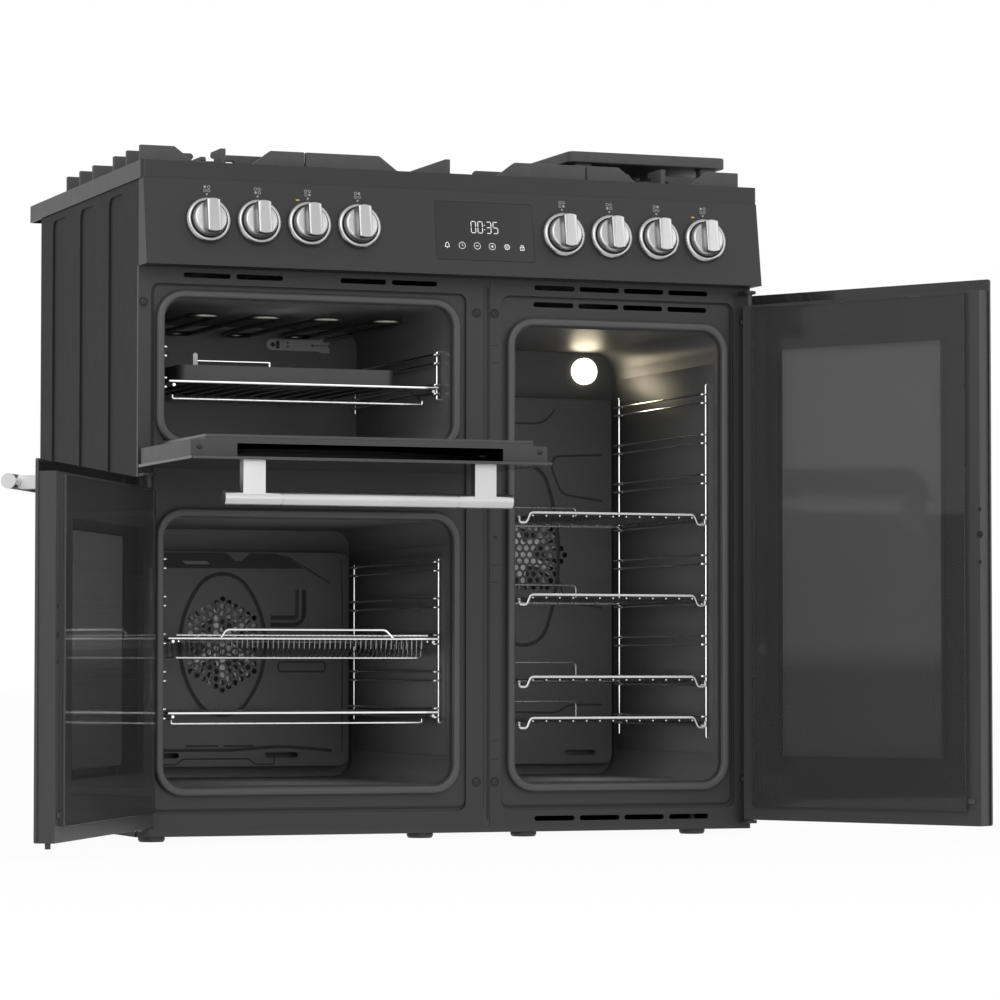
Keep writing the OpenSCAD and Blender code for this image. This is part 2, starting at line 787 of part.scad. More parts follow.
// a ring element round a fan, held by two straight ends in the oven's back wall
module ring_element(fan, y) {
    translate([fan[0], y - fan_room / 2, fan[1]]) rotate([90, 0, 0]) rotate_extrude()
        translate([ring_element_d / 2, 0]) circle(d = element_d);
    for (s = [-1, 1])
        bar_y(fan[0] + s * 9, y - fan_room / 2, y, fan[1] + ring_element_d / 2 - 0.8, element_d);
}

// the grill element under the roof of the grill oven: rods with half turns between them
module grill_element() {
    n = 8;
    pitch = 44;
    x0 = (left_oven[0] + left_oven[1]) / 2 - (n - 1) * pitch / 2;
    y0 = front + 70;
    y1 = grill_back - 70;
    z = grill_oven_top - 16;
    for (i = [0 : n - 1]) bar_y(x0 + i * pitch, y0, i == 0 || i == n - 1 ? grill_back : y1, z, element_d);
    for (i = [0 : n - 2])
        translate([x0 + (i + 0.5) * pitch, i % 2 == 0 ? y0 : y1, z])
            rotate([0, 0, i % 2 == 0 ? 180 : 0]) rotate_extrude(angle = 180)
                translate([pitch / 2, 0]) circle(d = element_d);
}

module heating_elements() {
    color([0.55, 0.53, 0.5]) {
        ring_element(main_fan, main_back);
        ring_element(tall_fan, tall_back);
        grill_element();
    }
}

module oven_lamp() {
    color([1, 0.9, 0.7]) translate([lamp_x, tall_back, lamp_z]) rotate([90, 0, 0]) {
        cylinder(h = 6, d = lamp_d);
        translate([0, 0, 6]) cylinder(h = 6, d1 = lamp_d - 6, d2 = lamp_d - 18);
    }
}

// a wire ladder on one oven wall: two uprights, a pair of rails at each level, and wall stubs
module rack(wall, side, y0, y1, levels, up, ends) {
    x = wall + side * rack_off;
    xu = x - side * upright_in;
    zs = [min(levels) - ends, max(levels) + ends];
    for (y = [y0 + up, y1]) {
        bar_z(xu, y, zs[0], zs[1], rack_wire_d);
        for (z = [zs[0] + 5, zs[1] - 5]) bar_x(min(wall, xu), max(wall, xu), y, z, rack_wire_d);
    }
    for (z = levels, h = [-rail_below, rail_above])
        bar_y(x - side * rail_in, y0 - 4, y1 + 4, z + h, rack_wire_d);
}

module shelf_racks() {
    color([0.8, 0.8, 0.8]) {
        for (w = [[left_oven[0], 1], [left_oven[1], -1]]) {
            rack(w[0], w[1], rack_front, main_rack_back,
                [for (i = [0 : 4]) main_level_1 + i * main_level_pitch], 0, 14);
            rack(w[0], w[1], rack_front, grill_rack_back, [grill_level_1, grill_level_1 + grill_level_pitch],
                64, 14);
        }
        for (w = [[right_oven[0], 1], [right_oven[1], -1]])
            rack(w[0], w[1], rack_front, tall_rack_back,
                [for (i = [0 : tall_level_last]) tall_level_1 + i * tall_level_pitch], 0, 24);
    }
}

// the sides, the back and the long wires that all the shelves have
module shelf_frame(x0, x1, y0, y1, z, wires) {
    d = shelf_wire_d;
    for (x = [x0, x1]) bar_y(x, y0, y1, z, d);
    bar_x(x0, x1, y1 - d, z, cross_wire_d);
    for (i = [1 : wires])
        bar_y(x0 + i * (x1 - x0) / (wires + 1), y0 - 1.2, y1 - d + 0.8, z + rung_up, rung_d);
}

// a shelf whose front bar is straight, with a second bar under it
module flat_shelf(oven, z, depth, wires, low) {
    x0 = oven[0] + rack_off;
    x1 = oven[1] - rack_off;
    shelf_frame(x0, x1, shelf_front, shelf_front + depth, z, wires);
    bar_x(x0, x1, shelf_front, z, cross_wire_d);
    bar_x(x0 + front_step - 1, x1 - front_step + 1, shelf_front, z - low, 4);
    for (x = [x0 + front_step, x1 - front_step]) bar_z(x, shelf_front, z - low, z, 3.4);
}

// a shelf whose front bar steps up over the wires' ends, with a short hook at each side
module step_shelf(oven, z, depth, wires) {
    x0 = oven[0] + rack_off;
    x1 = oven[1] - rack_off;
    d = shelf_wire_d;
    shelf_frame(x0, x1, shelf_front, shelf_front + depth, z, wires);
    bar_x(x0, x0 + front_step, shelf_front, z, d);
    bar_x(x1 - front_step, x1, shelf_front, z, d);
    bar_x(x0 + front_step, x1 - front_step, shelf_front, z + front_bar_up, d);
    for (x = [x0 + front_step, x1 - front_step])
        bar_z(x, shelf_front, z - 1, z + front_bar_up + 1, d - 0.5);
    for (x = [x0, x1]) bar_z(x, shelf_front, z - 1, z + front_bar_up + 1, d - 0.5);
}

module grill_shelf() {
    color([0.82, 0.82, 0.82]) flat_shelf(left_oven, grill_level_1, grill_shelf_d, 13, 19);
}

module main_shelf() {
    color([0.82, 0.82, 0.82]) flat_shelf(left_oven, main_level_1, main_shelf_d, 13, 12);
}

module tall_shelf(i) {
    color([0.82, 0.82, 0.82])
        step_shelf(right_oven, tall_level_1 + tall_levels[i] * tall_level_pitch, tall_shelf_d, 13);
}

// a close mesh basket that hangs in a shelf's frame, with a raised loop at the front
module mesh_basket() {
    z = main_level_1 + 2 * main_level_pitch;
    x0 = left_oven[0] + rack_off;
    x1 = left_oven[1] - rack_off;
    y0 = shelf_front;
    y1 = y0 + main_shelf_d;
    u0 = x0 + front_step;
    u1 = x1 - front_step;
    drop = basket_drop;
    pitch = (u1 - u0) / basket_wires;
    color([0.82, 0.82, 0.82]) {
        for (x = [x0, x1]) bar_y(x, y0, y1, z, shelf_wire_d);
        for (y = [y0, y1 - 5]) bar_x(x0, x1, y, z, cross_wire_d);
        for (x = [u0, u1]) bar_y(x, y0, y1 - 5, z - drop, 4);
        for (y = [y0 + 2, y1 - 7]) bar_x(u0, u1, y, z - drop, 3.6);
        bar_x(u0, u1, y0 + 1, z - 8, 3.6);
        for (x = [u0, u1], y = [y0 + 1, y1 - 6]) bar_z(x, y, z - drop, z, 3.4);
        for (i = [1 : basket_wires - 1]) {
            x = u0 + i * pitch;
            block(x - 0.8, x + 0.8, y0 + 2, y1 - 7, z - drop - 0.8, z - drop + 0.8);
            block(x - 0.8, x + 0.8, y0 + 0.7, y0 + 2.3, z - drop, z - 1);
        }
        for (i = [1 : 7]) block(u0, u1, y0 + 1 + i * (y1 - y0 - 8) / 8,
            y0 + 3 + i * (y1 - y0 - 8) / 8, z - drop - 1.6, z - drop);
        bar_x(x0 + 60, x1 - 60, y0, z + 6, 4);
        for (x = [x0 + 60, x1 - 60]) bar_z(x, y0, z, z + 6, 4);
    }
}

// the grill pan with its low wire grid, resting on the grill shelf
module grill_pan() {
    z = grill_level_1 + rung_up + rung_d / 2 + gap;
    m = (left_oven[0] + left_oven[1]) / 2 - pan_shift;
    x0 = m - pan_w / 2;
    x1 = m + pan_w / 2;
    y0 = shelf_front + pan_in;
    y1 = y0 + pan_d;
    color([0.22, 0.22, 0.23]) {
        difference() {
            slab_z(x0, x1, y0, y1, z, z + pan_h, 12);
            slab_z(x0 + pan_wall, x1 - pan_wall, y0 + pan_wall, y1 - pan_wall,
                z + pan_wall, z + pan_h + 1, 10);
        }
        for (y = [y0 + 30, y1 - 30]) bar_x(x0 + pan_wall, x1 - pan_wall, y, z + 14, 4);
        for (i = [1 : 9]) bar_y(x0 + i * pan_w / 10, y0 + 30, y1 - 30, z + 16, 3);
        bar_x(m - 123, m - 17, y0 + 30, z + 30, 4);
        for (x = [m - 123, m - 17]) bar_z(x, y0 + 30, z + 13, z + 30, 4);
    }
}

// ---- the doors, modelled closed ----

module door_panel(x0, x1, z0, z1) {
    color([0.14, 0.14, 0.15]) slab_y(x0, x1, glass_y, door_y0, z0, z1, 3);
}

// the steel frame of a door: a shallow box, open to the outer glass, with a raised middle
module door_frame(x0, x1, z0, z1, rim_top, rim_bottom, window) {
    a0 = x0 + frame_inset;
    a1 = x1 - frame_inset;
    b1 = z1 - frame_top_drop;
    color([0.24, 0.24, 0.25]) difference() {
        union() {
            block(a0, a1, door_y0, door_y1, z0, b1);
            block(a0 + raise_side, a1 - raise_side, door_y1, raise_y,
                z0 + rim_bottom, b1 - rim_top);
        }
        block(a0 + wall_t, a1 - wall_t, door_y0 - 1, door_y1 - wall_t, z0 + wall_t, b1 - wall_t);
        block(a0 + raise_side + wall_t, a1 - raise_side - wall_t, door_y0, raise_y - wall_t,
            z0 + rim_bottom + wall_t, b1 - max(rim_top, wall_t) - 0.01);
        block(a0 + window[0], a1 - window[0], door_y0, raise_y + 1,
            z0 + window[1], b1 - window[2]);
        block(x0 + 65, x1 - 65, door_y0 + 1, door_y1 - 4, b1 - wall_t - 1, b1 + 1);
    }
}

// the inner glass, on the raised middle of the frame
module door_glass(x0, x1, z0, z1, rim_top, rim_bottom) {
    a = frame_inset + raise_side;
    color([0.1, 0.1, 0.11]) block(x0 + a, x1 - a, raise_y, raise_y + inner_glass_t,
        z0 + rim_bottom, z1 - frame_top_drop - rim_top);
}

// a handle bar with two end sleeves, on two flat brackets
module door_handle(x0, x1, z1) {
    z = z1 - handle_drop;
    y = glass_y - handle_out;
    h0 = x0 + handle_inset;
    h1 = x1 - handle_inset;
    color([0.8, 0.8, 0.81]) {
        bar_x(h0 + 1, h1 - 1, y, z, handle_d - 1);
        bar_x(h0, h0 + 76, y, z, handle_d);
        bar_x(h1 - 76, h1, y, z, handle_d);
        bar_x(h0 + 77.5, h1 - 77.5, y, z, handle_d);
        for (x = [h0 + 24, h1 - 54]) block(x, x + 30, y, glass_y, z - 8, z + 8);
    }
}

// the pins at the top and the bottom of a side-hinged door, a part of its frame
module side_pins(x, z0, z1) {
    color([0.7, 0.7, 0.7]) {
        bar_z(x, side_hinge_y, z0 - bracket_t - 1, z0 + 0.5, hinge_pin_d);
        bar_z(x, side_hinge_y, z1 - frame_top_drop - 0.5, z1 + bracket_t + 1, hinge_pin_d);
    }
}

module left_door_panel() {
    left_open() door_panel(left_door_x0, left_door_x1, door_z, main_door_top);
}

module left_door_frame() {
    left_open() {
        door_frame(left_door_x0, left_door_x1, door_z, main_door_top, raise_top, raise_side,
            [65, 75, 55]);
        side_pins(left_hinge_x, door_z, main_door_top);
    }
}

module left_door_glass() {
    left_open() door_glass(left_door_x0, left_door_x1, door_z, main_door_top, raise_top, raise_side);
}

module left_door_handle() {
    left_open() door_handle(left_door_x0, left_door_x1, main_door_top);
}

module right_door_panel() {
    right_open() door_panel(right_door_x0, right_door_x1, door_z, doors_top);
}

module right_door_frame() {
    right_open() {
        door_frame(right_door_x0, right_door_x1, door_z, doors_top, raise_top, raise_side,
            [60, 90, 65]);
        side_pins(right_hinge_x, door_z, doors_top);
    }
}

module right_door_glass() {
    right_open() door_glass(right_door_x0, right_door_x1, door_z, doors_top, raise_top, raise_side);
}

module right_door_handle() {
    right_open() door_handle(right_door_x0, right_door_x1, doors_top);
}

module grill_door_panel() {
    grill_open() door_panel(left_door_x0, left_door_x1, grill_door_z, doors_top);
}

module grill_door_frame() {
    z0 = grill_door_z + 6;
    grill_open() {
        difference() {
            door_frame(left_door_x0, left_door_x1, z0, doors_top, 0, 12, [70, 60, 40]);
            for (x = grill_lug_x) block(x - 1, x + grill_lug_w + 1, grill_hinge_y - 13,
                raise_y + 1, z0 - 1, grill_hinge_z + 13);
        }
        for (x = grill_lug_x) {
            for (s = [x - 1 - wall_t, x + grill_lug_w + 1])
                block(s, s + wall_t, door_y0, door_y1 - wall_t + 0.5, z0, grill_hinge_z + 16);
            color([0.7, 0.7, 0.7]) bar_x(x - 2, x + grill_lug_w + 2, grill_hinge_y, grill_hinge_z,
                grill_pin_d);
        }
    }
}

module grill_door_glass() {
    grill_open() door_glass(left_door_x0, left_door_x1, grill_door_z + 6, doors_top, 0, 12);
}

module grill_door_handle() {
    grill_open() door_handle(left_door_x0, left_door_x1, doors_top);
}

// the fixed halves of the hinges: a plate above and below each side door, and the grill lugs
module hinge_brackets() {
    color([0.5, 0.5, 0.52]) {
        for (h = [[left_hinge_x, main_door_top], [right_hinge_x, doors_top]])
            for (z = [door_z - bracket_t - 1, h[1] + 1]) difference() {
                union() {
                    block(h[0] - 9, h[0] + 9, side_hinge_y, front, z, z + bracket_t);
                    bar_z(h[0], side_hinge_y, z, z + bracket_t, 18);
                }
                bar_z(h[0], side_hinge_y, z - 1, z + bracket_t + 1, hinge_pin_d + 2 * fit);
            }
        for (x = grill_lug_x) difference() {
            union() {
                block(x, x + grill_lug_w, grill_hinge_y, front, grill_hinge_z - 5, grill_hinge_z + 5);
                bar_x(x, x + grill_lug_w, grill_hinge_y, grill_hinge_z, 10);
            }
            bar_x(x - 1, x + grill_lug_w + 1, grill_hinge_y, grill_hinge_z, grill_pin_d + 2 * fit);
        }
    }
}

// ---- the hob's parts ----

module burner_bases() {
    color([0.62, 0.62, 0.64]) for (b = burners) {
        bar_z(b[0], b[1], well_z, well_z + burner_h, b[2]);
        bar_z(b[0], b[1], well_z - 14, well_z, b[2] - 20);
    }
}

module burner_caps() {
    color([0.12, 0.12, 0.13]) for (b = burners) translate([b[0], b[1], well_z + burner_h]) {
        cylinder(h = cap_h - 2, d = b[2] - 8);
        translate([0, 0, cap_h - 2]) cylinder(h = 2, d1 = b[2] - 8, d2 = b[2] - 14);
    }
}

// a bar across a pan support: high at both ends, low in the middle
module cross_bar(x0, x1, y, high) {
    low = well_z + 9;
    slope = 27;
    translate([0, y + pan_bar_w / 2, 0]) rotate([90, 0, 0]) linear_extrude(pan_bar_w)
        polygon([[x0, well_z], [x1, well_z], [x1, support_top], [x1 - high, support_top],
            [x1 - high - slope, low], [x0 + high + slope, low], [x0 + high, support_top],
            [x0, support_top]]);
}

// a finger that points at a burner from the left and reaches over its rim
module finger(length, over) {
    rotate([90, 0, 0]) translate([0, 0, -pan_bar_w / 2]) linear_extrude(pan_bar_w)
        polygon([[0, well_z + 2], [length - over - 9, well_z + 9], [length - over, over_z],
            [length - 3, over_z], [length, over_z + 3], [length, support_top - 3],
            [length - 3, support_top], [0, support_top]]);
}

// one pan support: side rails, cross bars, and four fingers round each burner
module pan_support(x0, x1, bars, rings, high, reach) {
    m = (x0 + x1) / 2;
    w = pan_bar_w;
    for (x = [x0, x1 - w]) block(x, x + w, support_y0, support_y1, well_z, well_z + 9);
    for (y = bars) cross_bar(x0, x1, y, high);
    for (r = rings) {
        over = r[3] / 2 - reach + 4;
        translate([x0, r[0], 0]) finger((x1 - x0) / 2 - reach, over);
        translate([x1, r[0], 0]) rotate([0, 0, 180]) finger((x1 - x0) / 2 - reach, over);
        translate([m, r[1] - w / 2, 0]) rotate([0, 0, 90])
            finger(r[0] - r[1] - reach + w / 2, over);
        translate([m, r[2] + w / 2, 0]) rotate([0, 0, -90])
            finger(r[2] - r[0] - reach + w / 2, over);
    }
}

module pan_supports() {
    y0 = support_y0 + pan_bar_w / 2;
    y1 = support_y1 - pan_bar_w / 2;
    ya = 2 * front_burner_y - y0;
    yb = 2 * rear_burner_y - y1;
    w = side_support_w / 2;
    color([0.13, 0.13, 0.14]) {
        for (s = [-1, 1]) pan_support(s * side_support_x - w, s * side_support_x + w,
            [y0, ya, yb, y1], [[front_burner_y, y0, ya, burners[0][2]],
            [rear_burner_y, yb, y1, burners[1][2]]], 48, 22);
        pan_support(-centre_support_w / 2, centre_support_w / 2, [y0, y1],
            [[centre_burner_y, y0, y1, burners[2][2]]], 106, 40);
        for (s = [-1, 1], y = [centre_burner_y - 84, centre_burner_y + 84])
            translate([s * centre_support_w / 2, y, 0]) rotate([0, 0, s > 0 ? 180 : 0])
                finger(centre_support_w / 2 - 78, 12);
    }
}

module griddle_plate() {
    x0 = side_support_x - griddle_w / 2;
    x1 = side_support_x + griddle_w / 2;
    y0 = griddle_y0;
    y1 = y0 + griddle_d;
    color([0.2, 0.2, 0.21]) {
        difference() {
            slab_z(x0, x1, y0, y1, griddle_z, griddle_z + griddle_t, 10);
            slab_z(x0 + 10, x1 - 10, y0 + 10, y1 - 10, griddle_z + griddle_t - 5,
                griddle_z + griddle_t + 1, 8);
        }
        for (x = [x0 + 12, x1 - 37], y = [front_burner_y - 9, rear_burner_y - 9])
            block(x, x + 25, y, y + 18, support_top, griddle_z + 1);
    }
}

// ---- the connections ----

module gas_rail() {
    color([0.72, 0.6, 0.3]) {
        bar_x(-body_x + rail_end_in, inlet_x, rail_y, rail_z, gas_rail_d);
        translate([inlet_x, rail_y, rail_z]) sphere(d = gas_rail_d);
        bar_y(inlet_x, rail_y, back + 2, rail_z, gas_rail_d);
        bar_y(inlet_x, back, back + 3, rail_z, inlet_flange_d);
        bar_y(inlet_x, back + 1, back + 3 + inlet_l, rail_z, 2 * inlet_r);
    }
}

module terminal_box() {
    x = terminal_x;
    z = terminal_z;
    w = terminal_w / 2;
    h = terminal_h / 2;
    t = terminal_wall;
    color([0.16, 0.16, 0.17]) difference() {
        union() {
            slab_y(x - w, x + w, back, back + terminal_d, z - h, z + h, 5);
            bar_z(x, back + terminal_d / 2, z - h - 18, z - h, 2 * gland_bore_r + 11);
        }
        block(x - w + t, x + w - t, back - 1, back + terminal_d - t, z - h + t, z + h - t);
        bar_z(x, back + terminal_d / 2, z - h - 25, z - h + 5, 2 * gland_bore_r);
    }
}

place() side_panel_left();
place() side_panel_right();
place() back_panel();
place() base_tray();
place() partition();
place() levelling_feet();
place() hob_top();
place() control_panel();
place() display_glass();
place() knob_bezels();
place() front_frame_left();
place() front_frame_right();
place() grill_oven_liner();
place() main_oven_liner();
place() tall_oven_liner();
place() door_seals();
place() fan_baffles();
place() fan_motors();
place() heating_elements();
place() oven_lamp();
place() shelf_racks();
place() gas_rail();
place() control_valves();
place() burner_bases();
place() burner_caps();
place() pan_supports();
place() hinge_brackets();
place() screws();
place() terminal_box();
place() griddle_plate();
place() knob(0);  // knob_1
place() knob(1);  // knob_2
place() knob(2);  // knob_3
place() knob(3);  // knob_4
place() knob(4);  // knob_5
place() knob(5);  // knob_6
place() knob(6);  // knob_7
place() knob(7);  // knob_8
place() main_fan_wheel();
place() tall_fan_wheel();
place() grill_shelf();
place() grill_pan();
place() mesh_basket();
place() main_shelf();
place() tall_shelf(0);  // tall_shelf_1
place() tall_shelf(1);  // tall_shelf_2
place() tall_shelf(2);  // tall_shelf_3
place() tall_shelf(3);  // tall_shelf_4
place() left_door_panel();
place() left_door_frame();
place() left_door_glass();
place() left_door_handle();
place() right_door_panel();
place() right_door_frame();
place() right_door_glass();
place() right_door_handle();
place() grill_door_panel();
place() grill_door_frame();
place() grill_door_glass();
place() grill_door_handle();
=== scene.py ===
# %% [markdown]
# A range cooker is a family of sheet-steel boxes: a cabinet, three ovens with their doors, a
# sloped control panel and a gas hob. The solid model already holds every part at its real
# size, so this lesson dresses that model: it rounds edges, bends wires, presses panels, and
# gives each part a finish. Most are what the real material has, and some are painted light:
# near-black shade in grooves, holes and steps, pale highlights on a few ridges and the fan
# blades, darker side panels, and a reflection in the side doors' windows. Nothing here
# changes a dimension.

# %% Load the imported model
import json
import math

import bmesh
import bpy
from mathutils import Matrix, Vector


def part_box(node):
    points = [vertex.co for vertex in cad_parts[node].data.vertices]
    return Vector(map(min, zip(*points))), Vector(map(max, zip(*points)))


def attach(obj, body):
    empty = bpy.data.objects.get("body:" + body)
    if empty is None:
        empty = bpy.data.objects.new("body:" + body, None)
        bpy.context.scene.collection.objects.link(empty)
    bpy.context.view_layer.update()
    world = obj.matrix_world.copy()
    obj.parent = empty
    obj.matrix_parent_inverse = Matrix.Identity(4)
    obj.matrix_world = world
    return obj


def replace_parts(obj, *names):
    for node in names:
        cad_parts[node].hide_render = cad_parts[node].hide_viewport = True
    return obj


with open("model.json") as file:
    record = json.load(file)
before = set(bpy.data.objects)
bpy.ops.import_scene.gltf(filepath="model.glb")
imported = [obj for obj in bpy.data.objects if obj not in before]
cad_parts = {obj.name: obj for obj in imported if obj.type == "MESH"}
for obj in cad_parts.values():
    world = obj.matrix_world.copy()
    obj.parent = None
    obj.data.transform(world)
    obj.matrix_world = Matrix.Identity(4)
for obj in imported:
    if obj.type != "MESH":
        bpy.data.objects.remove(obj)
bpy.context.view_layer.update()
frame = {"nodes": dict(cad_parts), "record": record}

# %% [markdown]
# Measures are easier to follow in millimetres from one fixed point. Here that point is on the
# floor under the middle of the hob: X to the right, Y to the back, Z up. One small function
# turns such a triple into the metres that Blender works in.

# %% A ruler that starts under the hob's middle
MM = 0.001
hob_low, hob_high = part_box("hob_top")
middle = (hob_low + hob_high) / 2


def at(x, y, z):
    """A point in millimetres from the floor under the hob's middle, as Blender's metres."""
    return Vector((middle.x + x * MM, middle.y + y * MM, z * MM))


print("the hob is", [round(v, 3) for v in hob_high - hob_low], "m")

# %% [markdown]
# The control panel slopes back, so what sits on it is drawn flat first: X along the panel,
# Y up its slope and Z out of its face. A matrix then lays the drawing on the panel. The
# slope comes from how far the panel leans over its height.

# %% The slope of the control panel
FRONT = -281
PANEL_FOOT, PANEL_LEAN, PANEL_HEIGHT = 40, 19, 117
PANEL_Z = 769
slope = math.atan(PANEL_LEAN / PANEL_HEIGHT)
panel_face = (Matrix.Translation(at(0, FRONT - PANEL_FOOT, PANEL_Z))
              @ Matrix.Rotation(math.radians(90) - slope, 4, "X"))
print("the panel leans back", round(math.degrees(slope), 1), "degrees")

# %% [markdown]
# The camera stands low and to the left, far away with a long lens, as for a catalogue
# picture. Its place was found by matching the cooker's straight edges.

# %% Camera
camera_data = bpy.data.cameras.new("camera")
camera_data.lens = 145.04
camera_data.sensor_width = 36
camera = bpy.data.objects.new("camera", camera_data)
camera.location = (-1.494, -5.204, 0.231)
camera.rotation_euler = (math.radians(92.40), math.radians(-0.025), math.radians(-20.95))
bpy.context.scene.collection.objects.link(camera)
bpy.context.scene.camera = camera
print("lens", camera_data.lens, "mm")

# %% [markdown]
# Shader maths reads best as plain sums. Value wraps one socket and turns + and * into Math
# nodes. Nodes makes any node of a tree from its type, its settings and the values or links
# of its sockets. Finish is one material, with the few patterns that most surfaces need.


# %% Sums on sockets
class Value:
    """One output socket of a tree, so that sums can be written as plain Python."""

    def __init__(self, nodes, socket):
        self.nodes, self.socket = nodes, socket

    def join(self, operation, other):
        return self.nodes.node("ShaderNodeMath", {"operation": operation}, (self, other))

    def __add__(self, other):
        return self.join("ADD", other)

    def __mul__(self, other):
        return self.join("MULTIPLY", other)

    __radd__, __rmul__ = __add__, __mul__


# %% A tree, node by node
class Nodes:
    """The nodes of a material or of the world."""

    def __init__(self, owner):
        owner.use_nodes = True
        self.tree = owner.node_tree

    def feed(self, socket, value):
        if isinstance(value, Value):
            self.tree.links.new(value.socket, socket)
        else:
            socket.default_value = value

    def node(self, kind, settings=None, inputs=(), output=0):
        """Adds a node, sets it up, feeds its sockets and returns one of its outputs."""
        made = self.tree.nodes.new(kind)
        for name, value in (settings or {}).items():
            if name == "stops":
                for stop, (place, shade) in zip(made.color_ramp.elements, value):
                    stop.position, stop.color = place, (shade, shade, shade, 1)
            else:
                setattr(made, name, value)
        pairs = inputs.items() if isinstance(inputs, dict) else enumerate(inputs)
        for name, value in pairs:
            self.feed(made.inputs[name], value)
        return Value(self, made.outputs[output])


# %% One material
class Finish(Nodes):
    """A material with one main shader."""

    def __init__(self, name, **constants):
        self.material = bpy.data.materials.new(name)
        super().__init__(self.material)
        self.shader = self.tree.nodes["Principled BSDF"]
        self.set(**constants)

    def set(self, **sockets):
        """Feeds sockets of the main shader; Base_Color stands for Base Color."""
        for name, value in sockets.items():
            self.feed(self.shader.inputs[name.replace("_", " ")], value)

    def noise(self, scale, detail=2, stretch=(1, 1, 1), turn=(0, 0, 0)):
        """Cloudy noise from 0 to 1 that sits on the object, scale patches to a metre."""
        place = self.node("ShaderNodeTexCoord", output=3)
        place = self.node("ShaderNodeMapping", inputs={0: place, 2: turn, 3: stretch})
        return self.node("ShaderNodeTexNoise", inputs={
            "Vector": place, "Scale": scale, "Detail": detail})

    def mix(self, share, first, second):
        """A colour between two colours."""
        return self.node("ShaderNodeMix", {"data_type": "RGBA"},
                         {0: share, 6: (*first, 1), 7: (*second, 1)}, output=2)

    def ramp(self, value, low, high):
        """0 below low, 1 above high, and a straight slope between them."""
        return self.node("ShaderNodeValToRGB", {"stops": [(low, 0), (high, 1)]}, (value,))

    def bump(self, height, depth):
        """Fine relief, depth in metres."""
        self.set(Normal=self.node("ShaderNodeBump", inputs={
            "Strength": 1.0, "Distance": depth, "Height": height}))


# %% [markdown]
# Vitreous enamel is glass fused on steel. It is smooth but never quite flat: a faint
# orange-peel ripple breaks up its reflections, and dark oven enamel carries fine pale
# specks. The colour also drifts a little over a big sheet, which a slow noise gives.


# %% Enamels
def enamel(name, colour, roughness, specks=0.0, ripple=0.00004, shine=0.35):
    finish = Finish(name, IOR=1.5, Specular_IOR_Level=shine)
    drift = finish.noise(5, 3)
    darker = [0.9 * part for part in colour]
    lighter = [1.1 * part for part in colour]
    shade = finish.mix(drift, darker, lighter)
    if specks:
        dots = finish.ramp(finish.noise(900, 1), 0.70, 0.76)
        shade = finish.node("ShaderNodeMix", {"data_type": "RGBA"}, {
            0: dots * specks, 6: shade, 7: (0.3, 0.3, 0.31, 1)}, output=2)
    finish.set(Base_Color=shade, Roughness=finish.noise(60, 2) * 0.08 + (roughness - 0.04))
    finish.bump(finish.noise(420, 2), ripple)
    return finish.material


body_enamel = enamel("charcoal body enamel", (0.024, 0.024, 0.0245), 0.48)
# Painted shade: the side panels are about half as dark as the body's enamel, as the sides that
# face away from the light. They are also more matt.
shaded_side_enamel = enamel("matt side enamel", (0.0125, 0.0125, 0.013), 0.62, shine=0.15)
hob_enamel = enamel("black hob enamel", (0.021, 0.021, 0.0215), 0.42)
frame_enamel = enamel("grey front enamel", (0.030, 0.030, 0.0305), 0.44)
door_enamel = enamel("dark door enamel", (0.045, 0.045, 0.0455), 0.42)
oven_enamel = enamel("speckled oven enamel", (0.060, 0.060, 0.0605), 0.42, specks=0.3)
baffle_enamel = enamel("speckled baffle enamel", (0.042, 0.042, 0.043), 0.42, specks=0.3)
wall_enamel = enamel("wall sheet enamel", (0.062, 0.062, 0.063), 0.42, specks=0.3)
# Pale rim enamel is the seals' and the catches' own colour. On two ridges and a tongue in the
# oven plates it is a painted highlight.
pale_rim_and_highlight_grey = enamel("pale rim enamel", (0.072, 0.072, 0.073), 0.38, ripple=0.00002)
# Near black: painted shade in grooves, pressings, holes, cross recesses, gas ports and steps.
# The rail joints and the doors' marks are dark in it too.
painted_shade_and_mark_black = enamel("groove shadow enamel", (0.010, 0.010, 0.010), 0.6)
print("ten enamels")

# %% [markdown]
# Bare metals are told apart by their polish. Brushed parts have hair-fine scratches along
# one direction, so their noise is stretched a hundredfold along it. Wire chrome is smooth
# with faint dulling, zinc plate is mottled, and heated steel has lost its shine in patches.


# %% Metals
def metal(name, colour, roughness, stretch=(1, 1, 1), turn=0.0, grain=300, wear=0.12,
          depth=0.00001):
    finish = Finish(name, Metallic=1.0)
    scratch = finish.noise(grain, 3, stretch, (0, 0, math.radians(turn)))
    patches = finish.noise(9, 2)
    finish.set(
        Base_Color=finish.mix(patches, [0.92 * part for part in colour],
                              [min(1, 1.06 * part) for part in colour]),
        Roughness=scratch * wear + patches * 0.05 + (roughness - wear / 2))
    finish.bump(scratch, depth)
    return finish.material


ALONG_X = (0.02, 1, 1)
knob_steel = metal("satin knob steel", (0.44, 0.44, 0.443), 0.30)
ring_steel = metal("turned ring steel", (0.42, 0.42, 0.423), 0.24)
bar_steel = metal("brushed bar steel", (0.55, 0.55, 0.555), 0.30, ALONG_X)
left_bar_steel = metal("brushed bar steel left", (0.62, 0.62, 0.625), 0.30, ALONG_X, 120)
right_bar_steel = metal("brushed bar steel right", (0.62, 0.62, 0.625), 0.30, ALONG_X, -120)
wire_chrome = metal("wire chrome", (0.66, 0.66, 0.66), 0.16, wear=0.06)
satin_wire = metal("satin wire", (0.36, 0.36, 0.36), 0.26)
zinc_steel = metal("zinc plate", (0.48, 0.48, 0.49), 0.34, grain=70, wear=0.2)
element_steel = metal("heat dulled steel", (0.13, 0.125, 0.11), 0.30, grain=50, wear=0.2)
valve_brass = metal("turned brass", (0.62, 0.45, 0.20), 0.26, grain=120)
